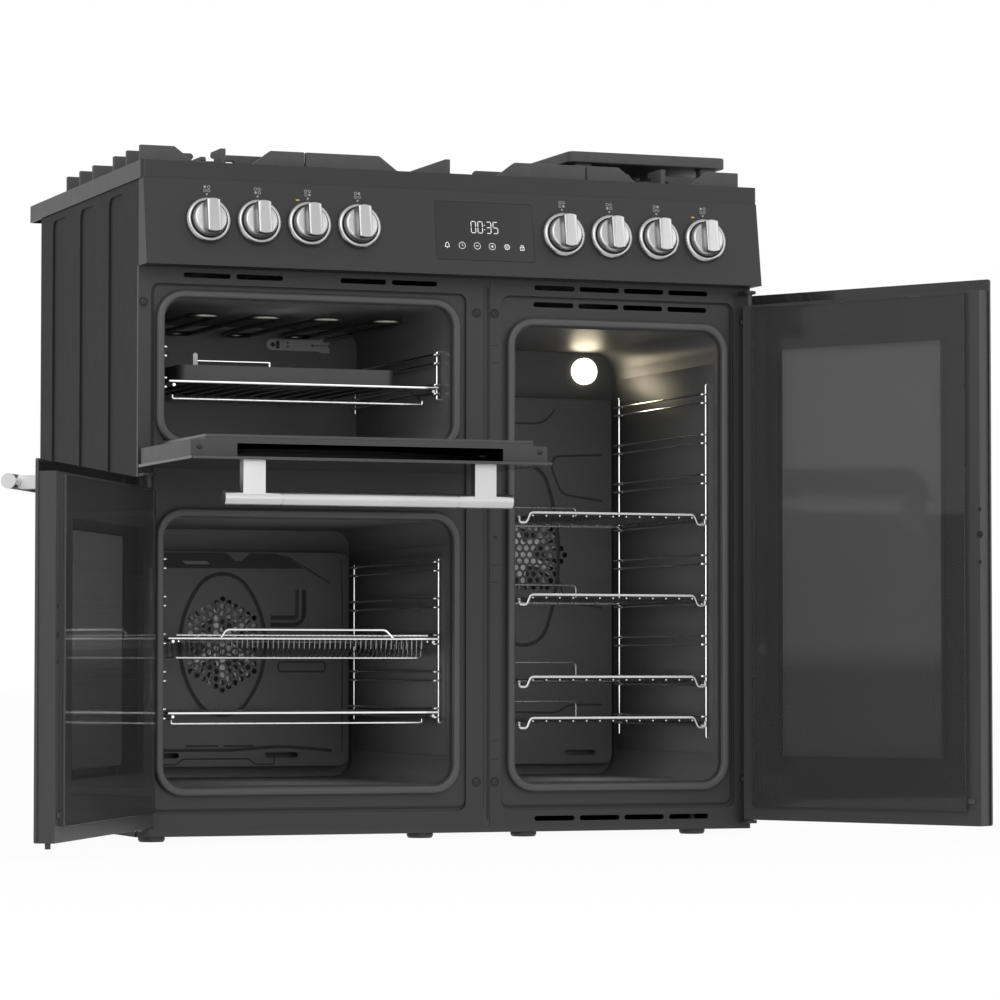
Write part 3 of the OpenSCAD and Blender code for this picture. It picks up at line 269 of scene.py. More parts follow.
burner_alloy = metal("cast burner alloy", (0.50, 0.50, 0.51), 0.45, grain=700, depth=0.00005)
print("eleven metals")

# %% [markdown]
# Cast iron has a grainy skin with a matt coat on it, and a sand-like relief that is
# stronger than any enamel's. Galvanised sheet shows flat crystals, which are the cells
# of a Voronoi pattern with one grey for each. Glass and plastic need little: their shine
# comes from the shader, and only faint smears vary over them.

# %% Cast iron, galvanised sheet, glass and plastic
iron = Finish("matt cast iron", IOR=1.45)
iron.set(Base_Color=iron.mix(iron.noise(40, 3), (0.050, 0.050, 0.0505), (0.080, 0.080, 0.081)),
         Roughness=iron.noise(90, 2) * 0.16 + 0.50)
iron.bump(iron.noise(650, 4), 0.0002)

sheet = Finish("galvanised sheet", Metallic=1.0)
crystals = sheet.node("ShaderNodeTexVoronoi", inputs={
    "Vector": sheet.node("ShaderNodeTexCoord", output=3), "Scale": 75.0}, output=1)
grey = sheet.node("ShaderNodeSeparateColor", inputs=(crystals,))
sheet.set(Base_Color=sheet.mix(grey, (0.40, 0.41, 0.42), (0.52, 0.53, 0.54)),
          Roughness=grey * 0.18 + 0.34)


def plain(name, colour, roughness, smear=0.04, **others):
    """A smooth, even finish with faint smears in its shine."""
    finish = Finish(name, **others)
    patches = finish.noise(14, 3)
    finish.set(Base_Color=finish.mix(patches, [0.9 * part for part in colour], colour),
               Roughness=patches * smear + roughness)
    finish.bump(finish.noise(30, 2), 0.000004)
    return finish


cast_iron, galvanised = iron.material, sheet.material
panel_glass = plain("black panel glass", (0.014, 0.014, 0.015), 0.02, Alpha=0.92).material
inner_glass = plain("smoked inner glass", (0.062, 0.062, 0.063), 0.02, Alpha=0.36).material
display_black = plain("black display glass", (0.005, 0.005, 0.006), 0.22).material
glass_edge = plain("ground glass edge", (0.045, 0.046, 0.046), 0.25).material
black_coat = plain("black powder coat", (0.022, 0.022, 0.023), 0.50, 0.1).material
box_plastic = plain("black box plastic", (0.020, 0.020, 0.021), 0.42, 0.08).material
pan_enamel = plain("pan enamel", (0.006, 0.006, 0.0062), 0.60, 0.08).material
# Dark inner sheet is the partition's own colour, and the painted shade of the fan discs behind
# the blades.
dark_sheet_and_fan_shade = plain("dark inner sheet", (0.030, 0.030, 0.031), 0.55, 0.1).material
panel_mark = plain("panel print", (0.34, 0.34, 0.34), 0.5).material
frame_mark = plain("pressed number", (0.020, 0.020, 0.020), 0.5).material
warm_mark = plain("orange print", (0.80, 0.42, 0.05), 0.5).material
bracket_grey = plain("dull bracket zinc", (0.22, 0.22, 0.222), 0.40, 0.1, Metallic=0.3).material
# The fan blades are painted near white as the glints seen through the holes.
painted_glint_fan_sheet = plain("bright fan sheet", (0.80, 0.80, 0.80), 0.35, 0.1, Metallic=0.2).material

tint_and_reflection = plain("tinted middle pane", (0.3, 0.3, 0.3), 0.08, Alpha=0.8)
# Painted reflection: the pane is darker below and paler above a line 0.225 to 0.265 m up, as
# the horizon seen in the window.
height = tint_and_reflection.node("ShaderNodeSeparateXYZ", inputs=(
    tint_and_reflection.node("ShaderNodeTexCoord", output=3),), output=2)
tint_and_reflection.set(Base_Color=tint_and_reflection.mix(tint_and_reflection.ramp(height, 0.225, 0.265),
                                 (0.20, 0.20, 0.20), (0.40, 0.40, 0.40)))
window_tint_and_reflection = tint_and_reflection.material
print("cast iron, galvanised sheet and", 14, "plain finishes")

# %% [markdown]
# Two things on the cooker give light themselves: the figures of the clock and the oven
# lamp. Both get emission on top of a normal surface.

# %% Things that glow
figures = plain("lit figures", (0.5, 0.5, 0.5), 0.3, Emission_Strength=0.62)
figures.set(Emission_Color=(0.95, 0.97, 1.0, 1))
lit_figures = figures.material
lens = plain("lit lamp lens", (0.9, 0.85, 0.7), 0.2, Emission_Strength=2.0)
lens.set(Emission_Color=lens.mix(lens.noise(120, 2), (1.0, 0.86, 0.58), (1.0, 0.95, 0.80)))
lamp_lens = lens.material
print("clock and lamp")

# %% [markdown]
# Every new shape is made in a bmesh and then turned into a piece in the same way: its
# doubles are merged, its faces are turned outwards, it is shaded smooth except at sharp
# edges, and it is set to ride on the body that carries it. Flat faces next to small
# roundings need weighted normals, or their shading would bend.

# %% Turn a bmesh into a piece
DOUBLES = 0.000002
SHARP = math.radians(38)


def finished(name, bm, finish, node, weighted=False):
    """Makes bm a piece with that finish, on the body of a solid part."""
    body, slot = bodies[node], slots[node]
    bmesh.ops.remove_doubles(bm, verts=bm.verts[:], dist=DOUBLES)
    bmesh.ops.recalc_face_normals(bm, faces=bm.faces[:])
    data = bpy.data.meshes.new(name)
    bm.to_mesh(data)
    bm.free()
    data.materials.clear()
    data.materials.append(finish)
    data.shade_smooth()
    data.set_sharp_from_angle(angle=SHARP)
    piece = bpy.data.objects.new(name, data)
    bpy.context.scene.collection.objects.link(piece)
    if weighted:
        piece.modifiers.new("flat faces stay flat", "WEIGHTED_NORMAL").keep_sharp = True
    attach(piece, body)
    return piece


slots = {row["node"]: row["material_slot"] for row in frame["record"]["subparts"]}
bodies = {node: body for body, nodes in frame["record"]["behaviour"]["bodies"].items()
          for node in nodes}
print(len(slots), "parts have a material slot")

# %% [markdown]
# The solid model has knife-sharp edges, and real sheet and castings never do: a bend has a
# radius, a casting is tumbled, glass is ground. Soften copies a part, joins its loose
# triangles into whole faces and bevels each edge that is sharper than a facet of a
# round bar. A bevel only takes material away, so the part keeps its size.

# %% Round the edges of a part
FLAT, KEEN = math.radians(0.6), math.radians(30)


def bevel(bm, edges, width, segments=2):
    """Rounds edges with a bevel of that width in millimetres."""
    bmesh.ops.bevel(bm, geom=edges, offset=width * MM, offset_type="OFFSET", affect="EDGES",
                    segments=segments, profile=0.5, clamp_overlap=True, material=-1)


def soften(node, width, finish, segments=2):
    bm = bmesh.new()
    bm.from_mesh(frame["nodes"][node].data)
    bmesh.ops.remove_doubles(bm, verts=bm.verts[:], dist=DOUBLES)
    bmesh.ops.dissolve_limit(bm, angle_limit=FLAT, verts=bm.verts[:], edges=bm.edges[:])
    keen = [edge for edge in bm.edges
            if len(edge.link_faces) == 2 and edge.calc_face_angle() > KEEN]
    bevel(bm, keen, width, segments)
    piece = finished(node + "_soft", bm, finish, node, weighted=True)
    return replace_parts(piece, node)


SOFT_PARTS = [
    ("side_panel_left", 0.6, shaded_side_enamel), ("side_panel_right", 0.6, shaded_side_enamel),
    ("hob_top", 2.0, hob_enamel), ("control_panel", 1.6, body_enamel),
    ("front_frame_left", 1.7, frame_enamel), ("front_frame_right", 1.7, frame_enamel),
    ("door_seals", 4.0, pale_rim_and_highlight_grey), ("fan_baffles", 0.6, baffle_enamel),
    ("pan_supports", 1.2, cast_iron), ("griddle_plate", 2.2, cast_iron),
    ("hinge_brackets", 0.7, black_coat), ("terminal_box", 1.5, box_plastic),
    ("grill_pan", 0.7, pan_enamel), ("levelling_feet", 1.0, black_coat),
    ("left_door_frame", 1.0, door_enamel), ("right_door_frame", 1.0, door_enamel),
    ("grill_door_frame", 1.0, door_enamel), ("display_glass", 0.3, display_black),
    ("left_door_handle", 1.0, left_bar_steel), ("right_door_handle", 1.0, right_bar_steel),
    ("grill_door_handle", 1.0, bar_steel)]
for node, width, finish in SOFT_PARTS:
    piece = soften(node, width, finish, segments=4 if width > 3 else 3 if width > 1.5 else 2)
    print(node, len(piece.data.polygons), "faces")

# %% [markdown]
# A sheet of glass has ground edges that look much paler than its face. The three outer
# panels and the three inner panes get their own bevel, and every face that looks sideways
# takes the pale finish. The glass is smoked, so the door's window shows through it.


# %% Glass panes with ground edges
def pane(node, finish, turn):
    piece = soften(node, 0.6, finish)
    piece.data.materials.append(glass_edge)
    through = Matrix.Rotation(math.radians(turn), 3, "Z") @ Vector((0, 1, 0))
    if turn == 0:
        through = Vector((0, 0, 1))
    for face in piece.data.polygons:
        if abs(face.normal.dot(through)) < 0.9:
            face.material_index = 1
    return piece


OPEN_TURN = {"left": -120, "right": 120, "grill": 0}
for side, turn in OPEN_TURN.items():
    pane(side + "_door_panel", panel_glass, turn)
    pane(side + "_door_glass", inner_glass, turn)
print("six panes")

# %% [markdown]
# The rest of the solid parts already have the right shape. They keep it, and only get
# their finish.

# %% Finishes for the parts that stay as they are
KEPT_PARTS = {
    "back_panel": galvanised, "base_tray": black_coat, "partition": dark_sheet_and_fan_shade,
    "grill_oven_liner": oven_enamel, "main_oven_liner": oven_enamel,
    "tall_oven_liner": oven_enamel, "fan_motors": zinc_steel,
    "heating_elements": element_steel, "oven_lamp": lamp_lens,
    "gas_rail": valve_brass, "control_valves": valve_brass}
for node, finish in KEPT_PARTS.items():
    data = frame["nodes"][node].data
    data.materials.clear()
    data.materials.append(finish)
print(len(KEPT_PARTS), "parts keep their shape")

# %% [markdown]
# Knobs and rings are turned on a lathe, and Blender's lathe is spin: a profile of radius
# and height goes once round the axis.


# %% A lathe
def lathe(profile, steps=48):
    bm = bmesh.new()
    points = [bm.verts.new((radius * MM, 0, height * MM)) for radius, height in profile]
    lines = [bm.edges.new(pair) for pair in zip(points, points[1:])]
    bmesh.ops.spin(bm, geom=points + lines, cent=(0, 0, 0), axis=(0, 0, 1),
                   angle=math.radians(360), steps=steps, use_merge=True)
    bmesh.ops.remove_doubles(bm, verts=bm.verts[:], dist=DOUBLES)
    return bm


def add(bm, part, place):
    """Adds another bmesh to bm, at its place."""
    part.transform(place)
    data = bpy.data.meshes.new("part")
    part.to_mesh(data)
    part.free()
    bm.from_mesh(data)
    bpy.data.meshes.remove(data)


def on_panel(x, up):
    """A spot on the control panel's face, in millimetres along it and up its slope."""
    return panel_face @ Matrix.Translation((x * MM, up * MM, 0))


def loop(bm, points):
    """A closed loop of edges through points."""
    corners = [bm.verts.new(point) for point in points]
    return [bm.edges.new((a, b)) for a, b in zip(corners, corners[1:] + corners[:1])]


# %% [markdown]
# A knob is a turned disc with a straight grip across it. The grip's flanks are hollow where
# they meet the disc, so that fingers find it, and its top edge is rounded. It is built as a
# stack of outlines, each a bar cut off by a circle, which bridge_loops joins up.

# %% The eight knobs
KNOB_X = (-361, -290, -219, -148, 151, 222, 293, 364)
KNOB_UP = 61 / math.cos(slope)
KNOB_DISC = ((0, 1.5), (22.6, 1.5), (23.8, 2.6), (24, 4), (24, 11.2), (23.6, 13.2),
             (22.6, 15.2), (21.4, 16.5), (19.8, 17), (0, 17))
GRIP = ((16, 14.0, 20.6), (17.2, 12.4, 21.6), (19, 10.8, 22.6), (22, 9.8, 23.2),
        (26, 9.5, 23.5), (30.2, 9.4, 23.3), (31.3, 9.0, 22.9), (31.9, 8.2, 22.2))
ARC = 8


def grip_outline(height, half, radius):
    """A bar of half width half, with its ends cut round by a circle of that radius."""
    across = [half - 2 * half * step / ARC for step in range(ARC + 1)]
    top = [(x, math.sqrt(radius ** 2 - x ** 2)) for x in across]
    return [(x * MM, y * MM, height * MM) for x, y in top + [(-x, -y) for x, y in top]]


for number, x in enumerate(KNOB_X, 1):
    bm = lathe(KNOB_DISC)
    rings = [loop(bm, grip_outline(*level)) for level in GRIP]
    for lower, upper in zip(rings, rings[1:]):
        bmesh.ops.bridge_loops(bm, edges=lower + upper)
    for end in (rings[0], rings[-1]):
        bmesh.ops.contextual_create(bm, geom=end)
    bm.transform(on_panel(x, KNOB_UP))
    knob = finished(f"knob_{number}_turned", bm, knob_steel, f"knob_{number}")
    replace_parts(knob, f"knob_{number}")
print("knobs at", KNOB_X)

# %% [markdown]
# Each knob turns inside a polished ring with a sloped outer face. All eight rings are one
# part of the cabinet, so they are one piece.

# %% The rings round the knobs
RING = ((25.5, 0), (25.5, 7.6), (25.8, 8.5), (26.6, 9), (27.6, 8.9), (29.4, 7.9), (30.9, 5.8),
        (31.4, 4.2), (31.5, 2.5), (31.5, 0), (25.5, 0))
bezels = bmesh.new()
for x in KNOB_X:
    add(bezels, lathe(RING, 64), on_panel(x, KNOB_UP))
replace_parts(finished("knob_rings", bezels, ring_steel, "knob_bezels"), "knob_bezels")
print("eight rings")

# %% [markdown]
# Most of the fine shapes on a cooker are bent wire: shelves, racks, icons. A wire is a path
# with a round section. The path's corners are rounded first, and a curve with a bevel
# depth then gives the tube, which goes into a bmesh with its neighbours.


# %% Bent wire
def rounded(points, radius, closed=False, steps=5):
    """The points of a path in millimetres, with each corner rounded off."""
    points = [Vector(point) for point in points]
    path = []
    for i, corner in enumerate(points):
        if not closed and i in (0, len(points) - 1):
            path.append(corner)
            continue
        before, after = points[i - 1], points[(i + 1) % len(points)]
        cut = min(radius, (before - corner).length * 0.49, (after - corner).length * 0.49)
        start = corner + (before - corner).normalized() * cut
        end = corner + (after - corner).normalized() * cut
        for step in range(steps + 1):
            t = step / steps
            path.append(start * (1 - t) ** 2 + corner * 2 * t * (1 - t) + end * t ** 2)
    return path


def take(bm, curve, place=Matrix()):
    """Adds the mesh of a curve or a text to bm, and removes the curve."""
    holder = bpy.data.objects.new("curve", curve)
    data = bpy.data.meshes.new_from_object(holder)
    data.transform(place)
    bm.from_mesh(data)
    bpy.data.objects.remove(holder)
    bpy.data.curves.remove(curve)
    bpy.data.meshes.remove(data)


def wire(bm, points, thick, closed=False, sides=2):
    """Adds a round wire of that thickness in millimetres along points in metres."""
    path = bpy.data.curves.new("wire", "CURVE")
    path.dimensions = "3D"
    path.bevel_depth, path.bevel_resolution = thick * MM / 2, sides
    path.use_fill_caps = not closed
    line = path.splines.new("POLY")
    line.points.add(len(points) - 1)
    line.use_cyclic_u = closed
    for point, place in zip(line.points, points):
        point.co = (*place, 1)
    take(bm, path)


def flat_wire(bm, points, thick, radius=0.0, closed=False):
    """The same in millimetres on a flat drawing, with its corners rounded."""
    wire(bm, [point * MM for point in rounded([(*p, 0) for p in points], radius, closed)],
         thick, closed, sides=1)


def draw(bm, strokes, x=0, y=0):
    """Draws strokes round a point: points, a thickness, perhaps a bend radius and closed."""
    for points, *section in strokes:
        flat_wire(bm, [(x + px, y + py) for px, py in points], *section)


# %% [markdown]
# Clock figures are seven bars each. A digit is a string of the bars that are lit, and each
# bar runs between two corners of a 2 by 1 grid. The drawing is flattened to a thin film
# and laid on the glass.

# %% The clock on the display
DISPLAY_X, DISPLAY_UP = 35, PANEL_HEIGHT / math.cos(slope) / 2 + 8.8
BARS = {"a": ((0, 2), (1, 2)), "b": ((1, 2), (1, 1)), "c": ((1, 1), (1, 0)),
        "d": ((1, 0), (0, 0)), "e": ((0, 0), (0, 1)), "f": ((0, 1), (0, 2)),
        "g": ((0, 1), (1, 1))}
LIT = {"0": "abcdef", "3": "abcdg", "5": "afgcd"}
DIGIT_W, DIGIT_H, BAR_GAP = 6.6, 16.0, 0.7
film = bmesh.new()
for symbol, left in zip("0035", (-19.5, -9.6, 3.0, 12.8)):
    for bar in LIT[symbol]:
        (x0, y0), (x1, y1) = BARS[bar]
        along = Vector((x1 - x0, y1 - y0)).normalized() * BAR_GAP
        start = Vector((left + x0 * DIGIT_W, (y0 - 1) * DIGIT_H / 2)) + along
        end = Vector((left + x1 * DIGIT_W, (y1 - 1) * DIGIT_H / 2)) - along
        flat_wire(film, [start, end], 1.0)
for up in (-3, 3):
    flat_wire(film, [(0.1, up - 0.5), (0.1, up + 0.5)], 1.3)
FILM = Matrix.Diagonal((1, 1, 0.12, 1))
GLASS_TOP = 0.00032


def circle(x, y, radius, first=0, last=360, steps=24):
    """Points round a circle, from one angle to another."""
    turn = [math.radians(first + (last - first) * i / steps) for i in range(steps + 1)]
    return [(x + radius * math.cos(a), y + radius * math.sin(a)) for a in turn]


def ring(bm, x, y, radius, thick):
    flat_wire(bm, circle(x, y, radius)[:-1], thick, closed=True)


# %% [markdown]
# Under the clock are six touch signs: bell, timer, minus, plus, gear and lock. They are
# plain signs that every such clock has, each drawn with a few strokes round its own middle.

# %% The touch signs
SIGN_Y, SIGN_X = -26.5, (-55.9, -34.1, -12.1, 9.9, 31.7, 53.9)
BELL = [(-3.6, -2.6), (-2.4, -1), (-2.2, 2), (0, 4), (2.2, 2), (2.4, -1), (3.6, -2.6)]
LOCK = [(-2.8, -3.8), (2.8, -3.8), (2.8, 0.6), (-2.8, 0.6)]
TEETH = [([circle(0, 0, 3.3, 45 * i)[0], circle(0, 0, 4.4, 45 * i)[0]], 0.9) for i in range(8)]
RIM = (circle(0, 0, 4.6)[:-1], 0.6, 0, True)
BAR = ([(-2, 0), (2, 0)], 0.9)
SIGNS = (
    ((BELL, 0.8, 1.0, True), ([(-0.8, -4), (0.8, -4)], 0.9)),
    (RIM, ([(0, 2.4), (0, 0), (1.7, 0)], 0.8)),
    (RIM, BAR),
    (RIM, BAR, ([(0, -2), (0, 2)], 0.9)),
    ((circle(0, 0, 3.2)[:-1], 0.7, 0, True), (circle(0, 0, 1.4)[:-1], 0.5, 0, True), *TEETH),
    ((LOCK, 0.8, 0.5, True), (circle(0, 1.4, 1.9, -10, 180, 10), 0.8),
     ([(0, -2.4), (0, -1.2)], 1.1)))
for x, strokes in zip(SIGN_X, SIGNS):
    draw(film, strokes, x, SIGN_Y)
film.transform(on_panel(DISPLAY_X, DISPLAY_UP) @ Matrix.Translation((0, 0, GLASS_TOP)) @ FILM)
finished("clock_figures", film, lit_figures, "display_glass")
print("clock and six signs")

# %% [markdown]
# Over each knob is a dot for its off position, and a small plan of the hob in which the
# knob's own burner is solid. Two short orange dashes mark the knobs that also light.

# %% Print on the panel
print_film, dash_film = bmesh.new(), bmesh.new()
SOLID = (2, 0, 1, 3, 1, 0, 3, 2)
for x, solid in zip(KNOB_X, SOLID):
    ring(print_film, x + 0.6, KNOB_UP + 36.4, 0.75, 1.4)
    for i, (dx, dy) in enumerate(((-2.6, 0), (2.6, 0), (-2.6, 5.2), (2.6, 5.2))):
        ring(print_film, x + 0.6 + dx, KNOB_UP + 41.6 + dy, 0.9 if i == solid else 1.8,
             1.8 if i == solid else 0.7)
for x in (KNOB_X[2] - 14, KNOB_X[7] - 15):
    flat_wire(dash_film, [(x - 2.5, KNOB_UP + 33.8), (x + 2.5, KNOB_UP + 33.8)], 1.8)
for name, drawing, finish in (("panel_print", print_film, panel_mark),
                              ("panel_dashes", dash_film, warm_mark)):
    drawing.transform(panel_face @ FILM)
    finished(name, drawing, finish, "control_panel")
print("signs for", len(SOLID), "knobs")

# %% [markdown]
# The shelf levels are numbered on the front frames. Blender's own font is turned into a
# mesh, which is then stood upright on the frame's face.


# %% Level numbers
def level_number(bm, text, x, z, size, y):
    letters = bpy.data.curves.new("number", "FONT")
    letters.body, letters.size, letters.extrude = text, size * MM, 0.0001
    letters.align_x = letters.align_y = "CENTER"
    stand = Matrix.Rotation(math.radians(90), 4, "X")
    take(bm, letters, Matrix.Translation(at(x, y, z)) @ stand)


numbers = bmesh.new()
for text, z in (("2", 660), ("1", 620)):
    level_number(numbers, text, -440, z, 15, FRONT)
for text, z in zip("54321", (363, 311, 263, 210, 161)):
    level_number(numbers, text, 33, z, 15, FRONT)
finished("level_numbers", numbers, frame_mark, "front_frame_left")
print("seven level numbers")

# %% [markdown]
# The racks are bent from one wire each. An upright starts in the wall, turns down along it
# and goes back into the wall, and each rail bends to an upright at both ends.

# %% Shelf racks
LEFT_OVEN, RIGHT_OVEN = (-410, -3), (92.5, 399.5)
RACK_FRONT = -245
UPRIGHT_OFF, RAIL_OFF, RACK_WIRE = 4.6, 12.4, 3
MAIN_LEVELS = [169 + 50.5 * i for i in range(5)]
GRILL_LEVELS = [615, 657]
TALL_LEVELS = [156 + 57 * i for i in range(9)]


def strand(bm, points, thick, radius=0.0, closed=False, sides=2):
    """A wire through points in millimetres, with its bends rounded."""
    path = rounded(points, radius, closed)
    wire(bm, [at(*point) for point in path], thick, closed, sides)


def rack(bm, wall, side, back, levels, ends, inset=0):
    """Two uprights on a wall, and a pair of rails that holds a shelf at each level."""
    upright, rail = wall + side * UPRIGHT_OFF, wall + side * RAIL_OFF
    low, high = min(levels) - ends + 2, max(levels) + ends - 2
    for y in (RACK_FRONT + inset, back):
        strand(bm, [(wall, y, low), (upright, y, low), (upright, y, high), (wall, y, high)],
               RACK_WIRE, 4)
    for level in levels:
        for z in (level - 4.6, level + 7.6):
            strand(bm, [(upright, RACK_FRONT - 2, z), (rail, RACK_FRONT - 2, z),
                        (rail, back + 2, z), (upright, back + 2, z)], RACK_WIRE, 3)


racks = bmesh.new()
for wall, side in zip(LEFT_OVEN, (1, -1)):
    rack(racks, wall, side, 114, MAIN_LEVELS, 14)
    rack(racks, wall, side, 111, GRILL_LEVELS, 14, inset=8)
for wall, side in zip(RIGHT_OVEN, (1, -1)):
    rack(racks, wall, side, 73, TALL_LEVELS, 24)
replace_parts(finished("rack_wires", racks, wire_chrome, "shelf_racks"), "shelf_racks")
print("six racks")

# %% [markdown]
# A shelf is a bent frame with thin rungs welded on top. The two kinds differ at the front:
# one has a straight bar over the frame's round ends and a thin bar below, the other has one
# bar that drops from the frame's ends, steps up over the rungs and drops again, and a low
# wire at the back that stops a tray.

# %% Shelves
SHELF_FRONT = -261
SHELF_GAP = 13
LEFT_SHELF = LEFT_OVEN[0] + SHELF_GAP, LEFT_OVEN[1] - SHELF_GAP
RIGHT_SHELF = RIGHT_OVEN[0] + SHELF_GAP, RIGHT_OVEN[1] - SHELF_GAP


def mirrored(half, x0, x1):
    """A path from x0 to the middle, followed by its mirror image back out to x1."""
    return half + [(x0 + x1 - x, y, height) for x, y, height in reversed(half)]


def shelf_frame(bm, x0, x1, y1, z, ends, thick=4.4):
    """The bent frame: from one front end round the back to the other."""
    front = ([(x0 + 5, SHELF_FRONT + 0.3, z - 2.4), (x0 + 5, SHELF_FRONT + 14, z - 1.2),
              (x0, SHELF_FRONT + 30, z)] if ends else [(x0, SHELF_FRONT, z)])
    strand(bm, mirrored(front + [(x0, y1 - 2.6, z)], x0, x1), thick, 8)


def rungs(bm, x0, x1, y0, y1, z):
    for i in range(1, 14):
        x = x0 + i * (x1 - x0) / 14
        strand(bm, [(x, y0, z + 2.8), (x, y1 - 4, z + 2.8)], 2.6)


def flat_shelf(node, depth, z, low):
    bm = bmesh.new()
    (x0, x1), y0, y1 = LEFT_SHELF, SHELF_FRONT, SHELF_FRONT + depth
    shelf_frame(bm, x0, x1, y1, z, True)
    rungs(bm, x0, x1, y0 + 0.5, y1, z)
    strand(bm, [(x0 - 2, y0, z + 2.4), (x1 + 2, y0, z + 2.4)], 3.4)
    low_x, low_y, low_z = x0 + 11, y0 + 30, z - low
    strand(bm, mirrored([(low_x, low_y, low_z + 5), (low_x, low_y, low_z)], x0, x1), 2.4, 2)
    for x in (low_x, x0 + x1 - low_x):
        strand(bm, [(x, low_y, low_z + 4), (x, low_y + 40, z - 1)], 2)
    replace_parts(finished(node + "_wires", bm, wire_chrome, node), node)


def step_shelf(node, depth, z):
    bm = bmesh.new()
    (x0, x1), y0, y1 = RIGHT_SHELF, SHELF_FRONT, SHELF_FRONT + depth
    shelf_frame(bm, x0, x1, y1, z, False, 4)
    rungs(bm, x0, x1, y0 - 1, y1, z)
    step = [(x0, y0 + 8, z), (x0, y0, z), (x0, y0, z - 7), (x0 + 11, y0, z - 7),
            (x0 + 17, y0, z + 7)]
    strand(bm, mirrored(step, x0, x1), 4, 4)
    stop = [(x0 + 72, y1 - 2.6, z), (x0 + 72, y1 - 2.6, z + 27)]
    strand(bm, mirrored(stop, x0, x1), 2.6, 6)
    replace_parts(finished(node + "_wires", bm, satin_wire, node), node)


flat_shelf("main_shelf", 345, MAIN_LEVELS[0], 12)
flat_shelf("grill_shelf", 330, GRILL_LEVELS[0], 19)
for number, level in enumerate((0, 1, 3, 5), 1):
    step_shelf(f"tall_shelf_{number}", 310, TALL_LEVELS[level])
print("six shelves")

# %% [markdown]
# The mesh basket hangs in the same kind of frame. Its fine wires run both ways and turn up
# at all four sides, and a low loop on its front bar stops a dish from sliding off.

# %% The mesh basket
basket = bmesh.new()
(x0, x1), y0, y1, z, floor_z = LEFT_SHELF, SHELF_FRONT, 84, MAIN_LEVELS[2], 246
u0, u1 = x0 + 14, x1 - 14
FINE_WIRE = 1.4
shelf_frame(basket, x0, x1, y1, z, True)
strand(basket, [(x0 - 2, y0, z + 2), (x1 + 2, y0, z + 2)], 3.4)
strand(basket, [(x0 + 12, y0 + 9, z + 6.4), (x1 - 10, y0 + 9, z + 6.4)], 2.6)
strand(basket, [(x0 + 70, y0, z + 1), (x0 + 80, y0 + 2, z + 14), (x1 - 74, y0 + 2, z + 14),
                (x1 - 62, y0, z + 1)], 3, 4)
strand(basket, [(u0, y0 + 26, floor_z), (u1, y0 + 26, floor_z), (u1, y1 - 7, floor_z),
                (u0, y1 - 7, floor_z)], 2.6, 6, closed=True)
for i in range(1, 48):
    x = u0 + i * (u1 - u0) / 48
    strand(basket, [(x, y0 + 1, z), (x, y0 + 2, z - 12), (x, y0 + 26, floor_z),
                    (x, y1 - 7, floor_z), (x, y1 - 6, z - 1)], FINE_WIRE, 2, sides=0)
for i in range(18):
    y = y0 + 26 + i * (y1 - y0 - 33) / 17
    strand(basket, [(u0 - 1, y, z - 1), (u0, y, floor_z), (u1, y, floor_z), (u1 + 1, y, z - 1)],
           FINE_WIRE, 3, sides=0)
for x in (u0 - 1, u1 + 1):
    strand(basket, [(x, y0 + 2, z - 2), (x, y1 - 6, z - 2)], 2.4)
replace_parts(finished("mesh_basket_wires", basket, wire_chrome, "mesh_basket"), "mesh_basket")

# %% [markdown]
# The pan's wire handle is chromed, so every face above the pan's rim takes the chrome. A
# small pale clip holds the handle at one end. The clip is a flat plate, drawn as an outline
# and stood up to face the front, as many small parts after it are.

# %% Plates, and the grill pan's handle
def prism(bm, outline, low, high):
    """A flat plate in millimetres with that outline, from one height to another."""
    rims = [[bm.verts.new((x * MM, y * MM, height * MM)) for x, y in outline]
            for height in (low, high)]
    bm.faces.new(rims[1])
    bm.faces.new(rims[0][::-1])
    for i in range(len(outline)):
        j = (i + 1) % len(outline)
        bm.faces.new((rims[0][i], rims[0][j], rims[1][j], rims[1][i]))


def facing_front(y):
    """Stands a drawing up at depth y, seen from the front."""
    return Matrix.Translation(at(0, y, 0)) @ Matrix.Rotation(math.radians(90), 4, "X")


def plates(name, shapes, place, finish, node):
    """One piece of flat plates, each an outline with its low and its high face."""
    bm = bmesh.new()
    for outline, low, high in shapes:
        prism(bm, outline, low, high)
    bm.transform(place)
    return finished(name, bm, finish, node)


def block(x0, y0, x1, y1, low, high):
    return [(x0, y0), (x1, y0), (x1, y1), (x0, y1)], low, high


def disc(x, y, radius, low, high):
    return circle(x, y, radius)[:-1], low, high


PAN_RIM = 0.6425
pan = bpy.data.objects["grill_pan_soft"].data
pan.materials.append(wire_chrome)
for face in pan.polygons:
    if face.center.z > PAN_RIM:
        face.material_index = 1
CLIP = ((-351, 643), (-344.5, 643), (-344.5, 658), (-346, 660), (-350, 660), (-351, 658))
plates("pan_clip", [(CLIP, 0, 5)], facing_front(-206.5), bracket_grey, "grill_pan")
print("pan handle")

# %% [markdown]
# Behind each perforated plate turns a fan: a disc with slanted blades and a star-shaped boss.
# The disc is painted dark as the shade behind the blades, and the blades and boss are painted
# near white as the glints that show through the holes.

# %% Fan wheels
MAIN_FAN, TALL_FAN = (-206.5, 266), (246, 400)
BLADES, BLADE_TILT = 24, math.radians(34)


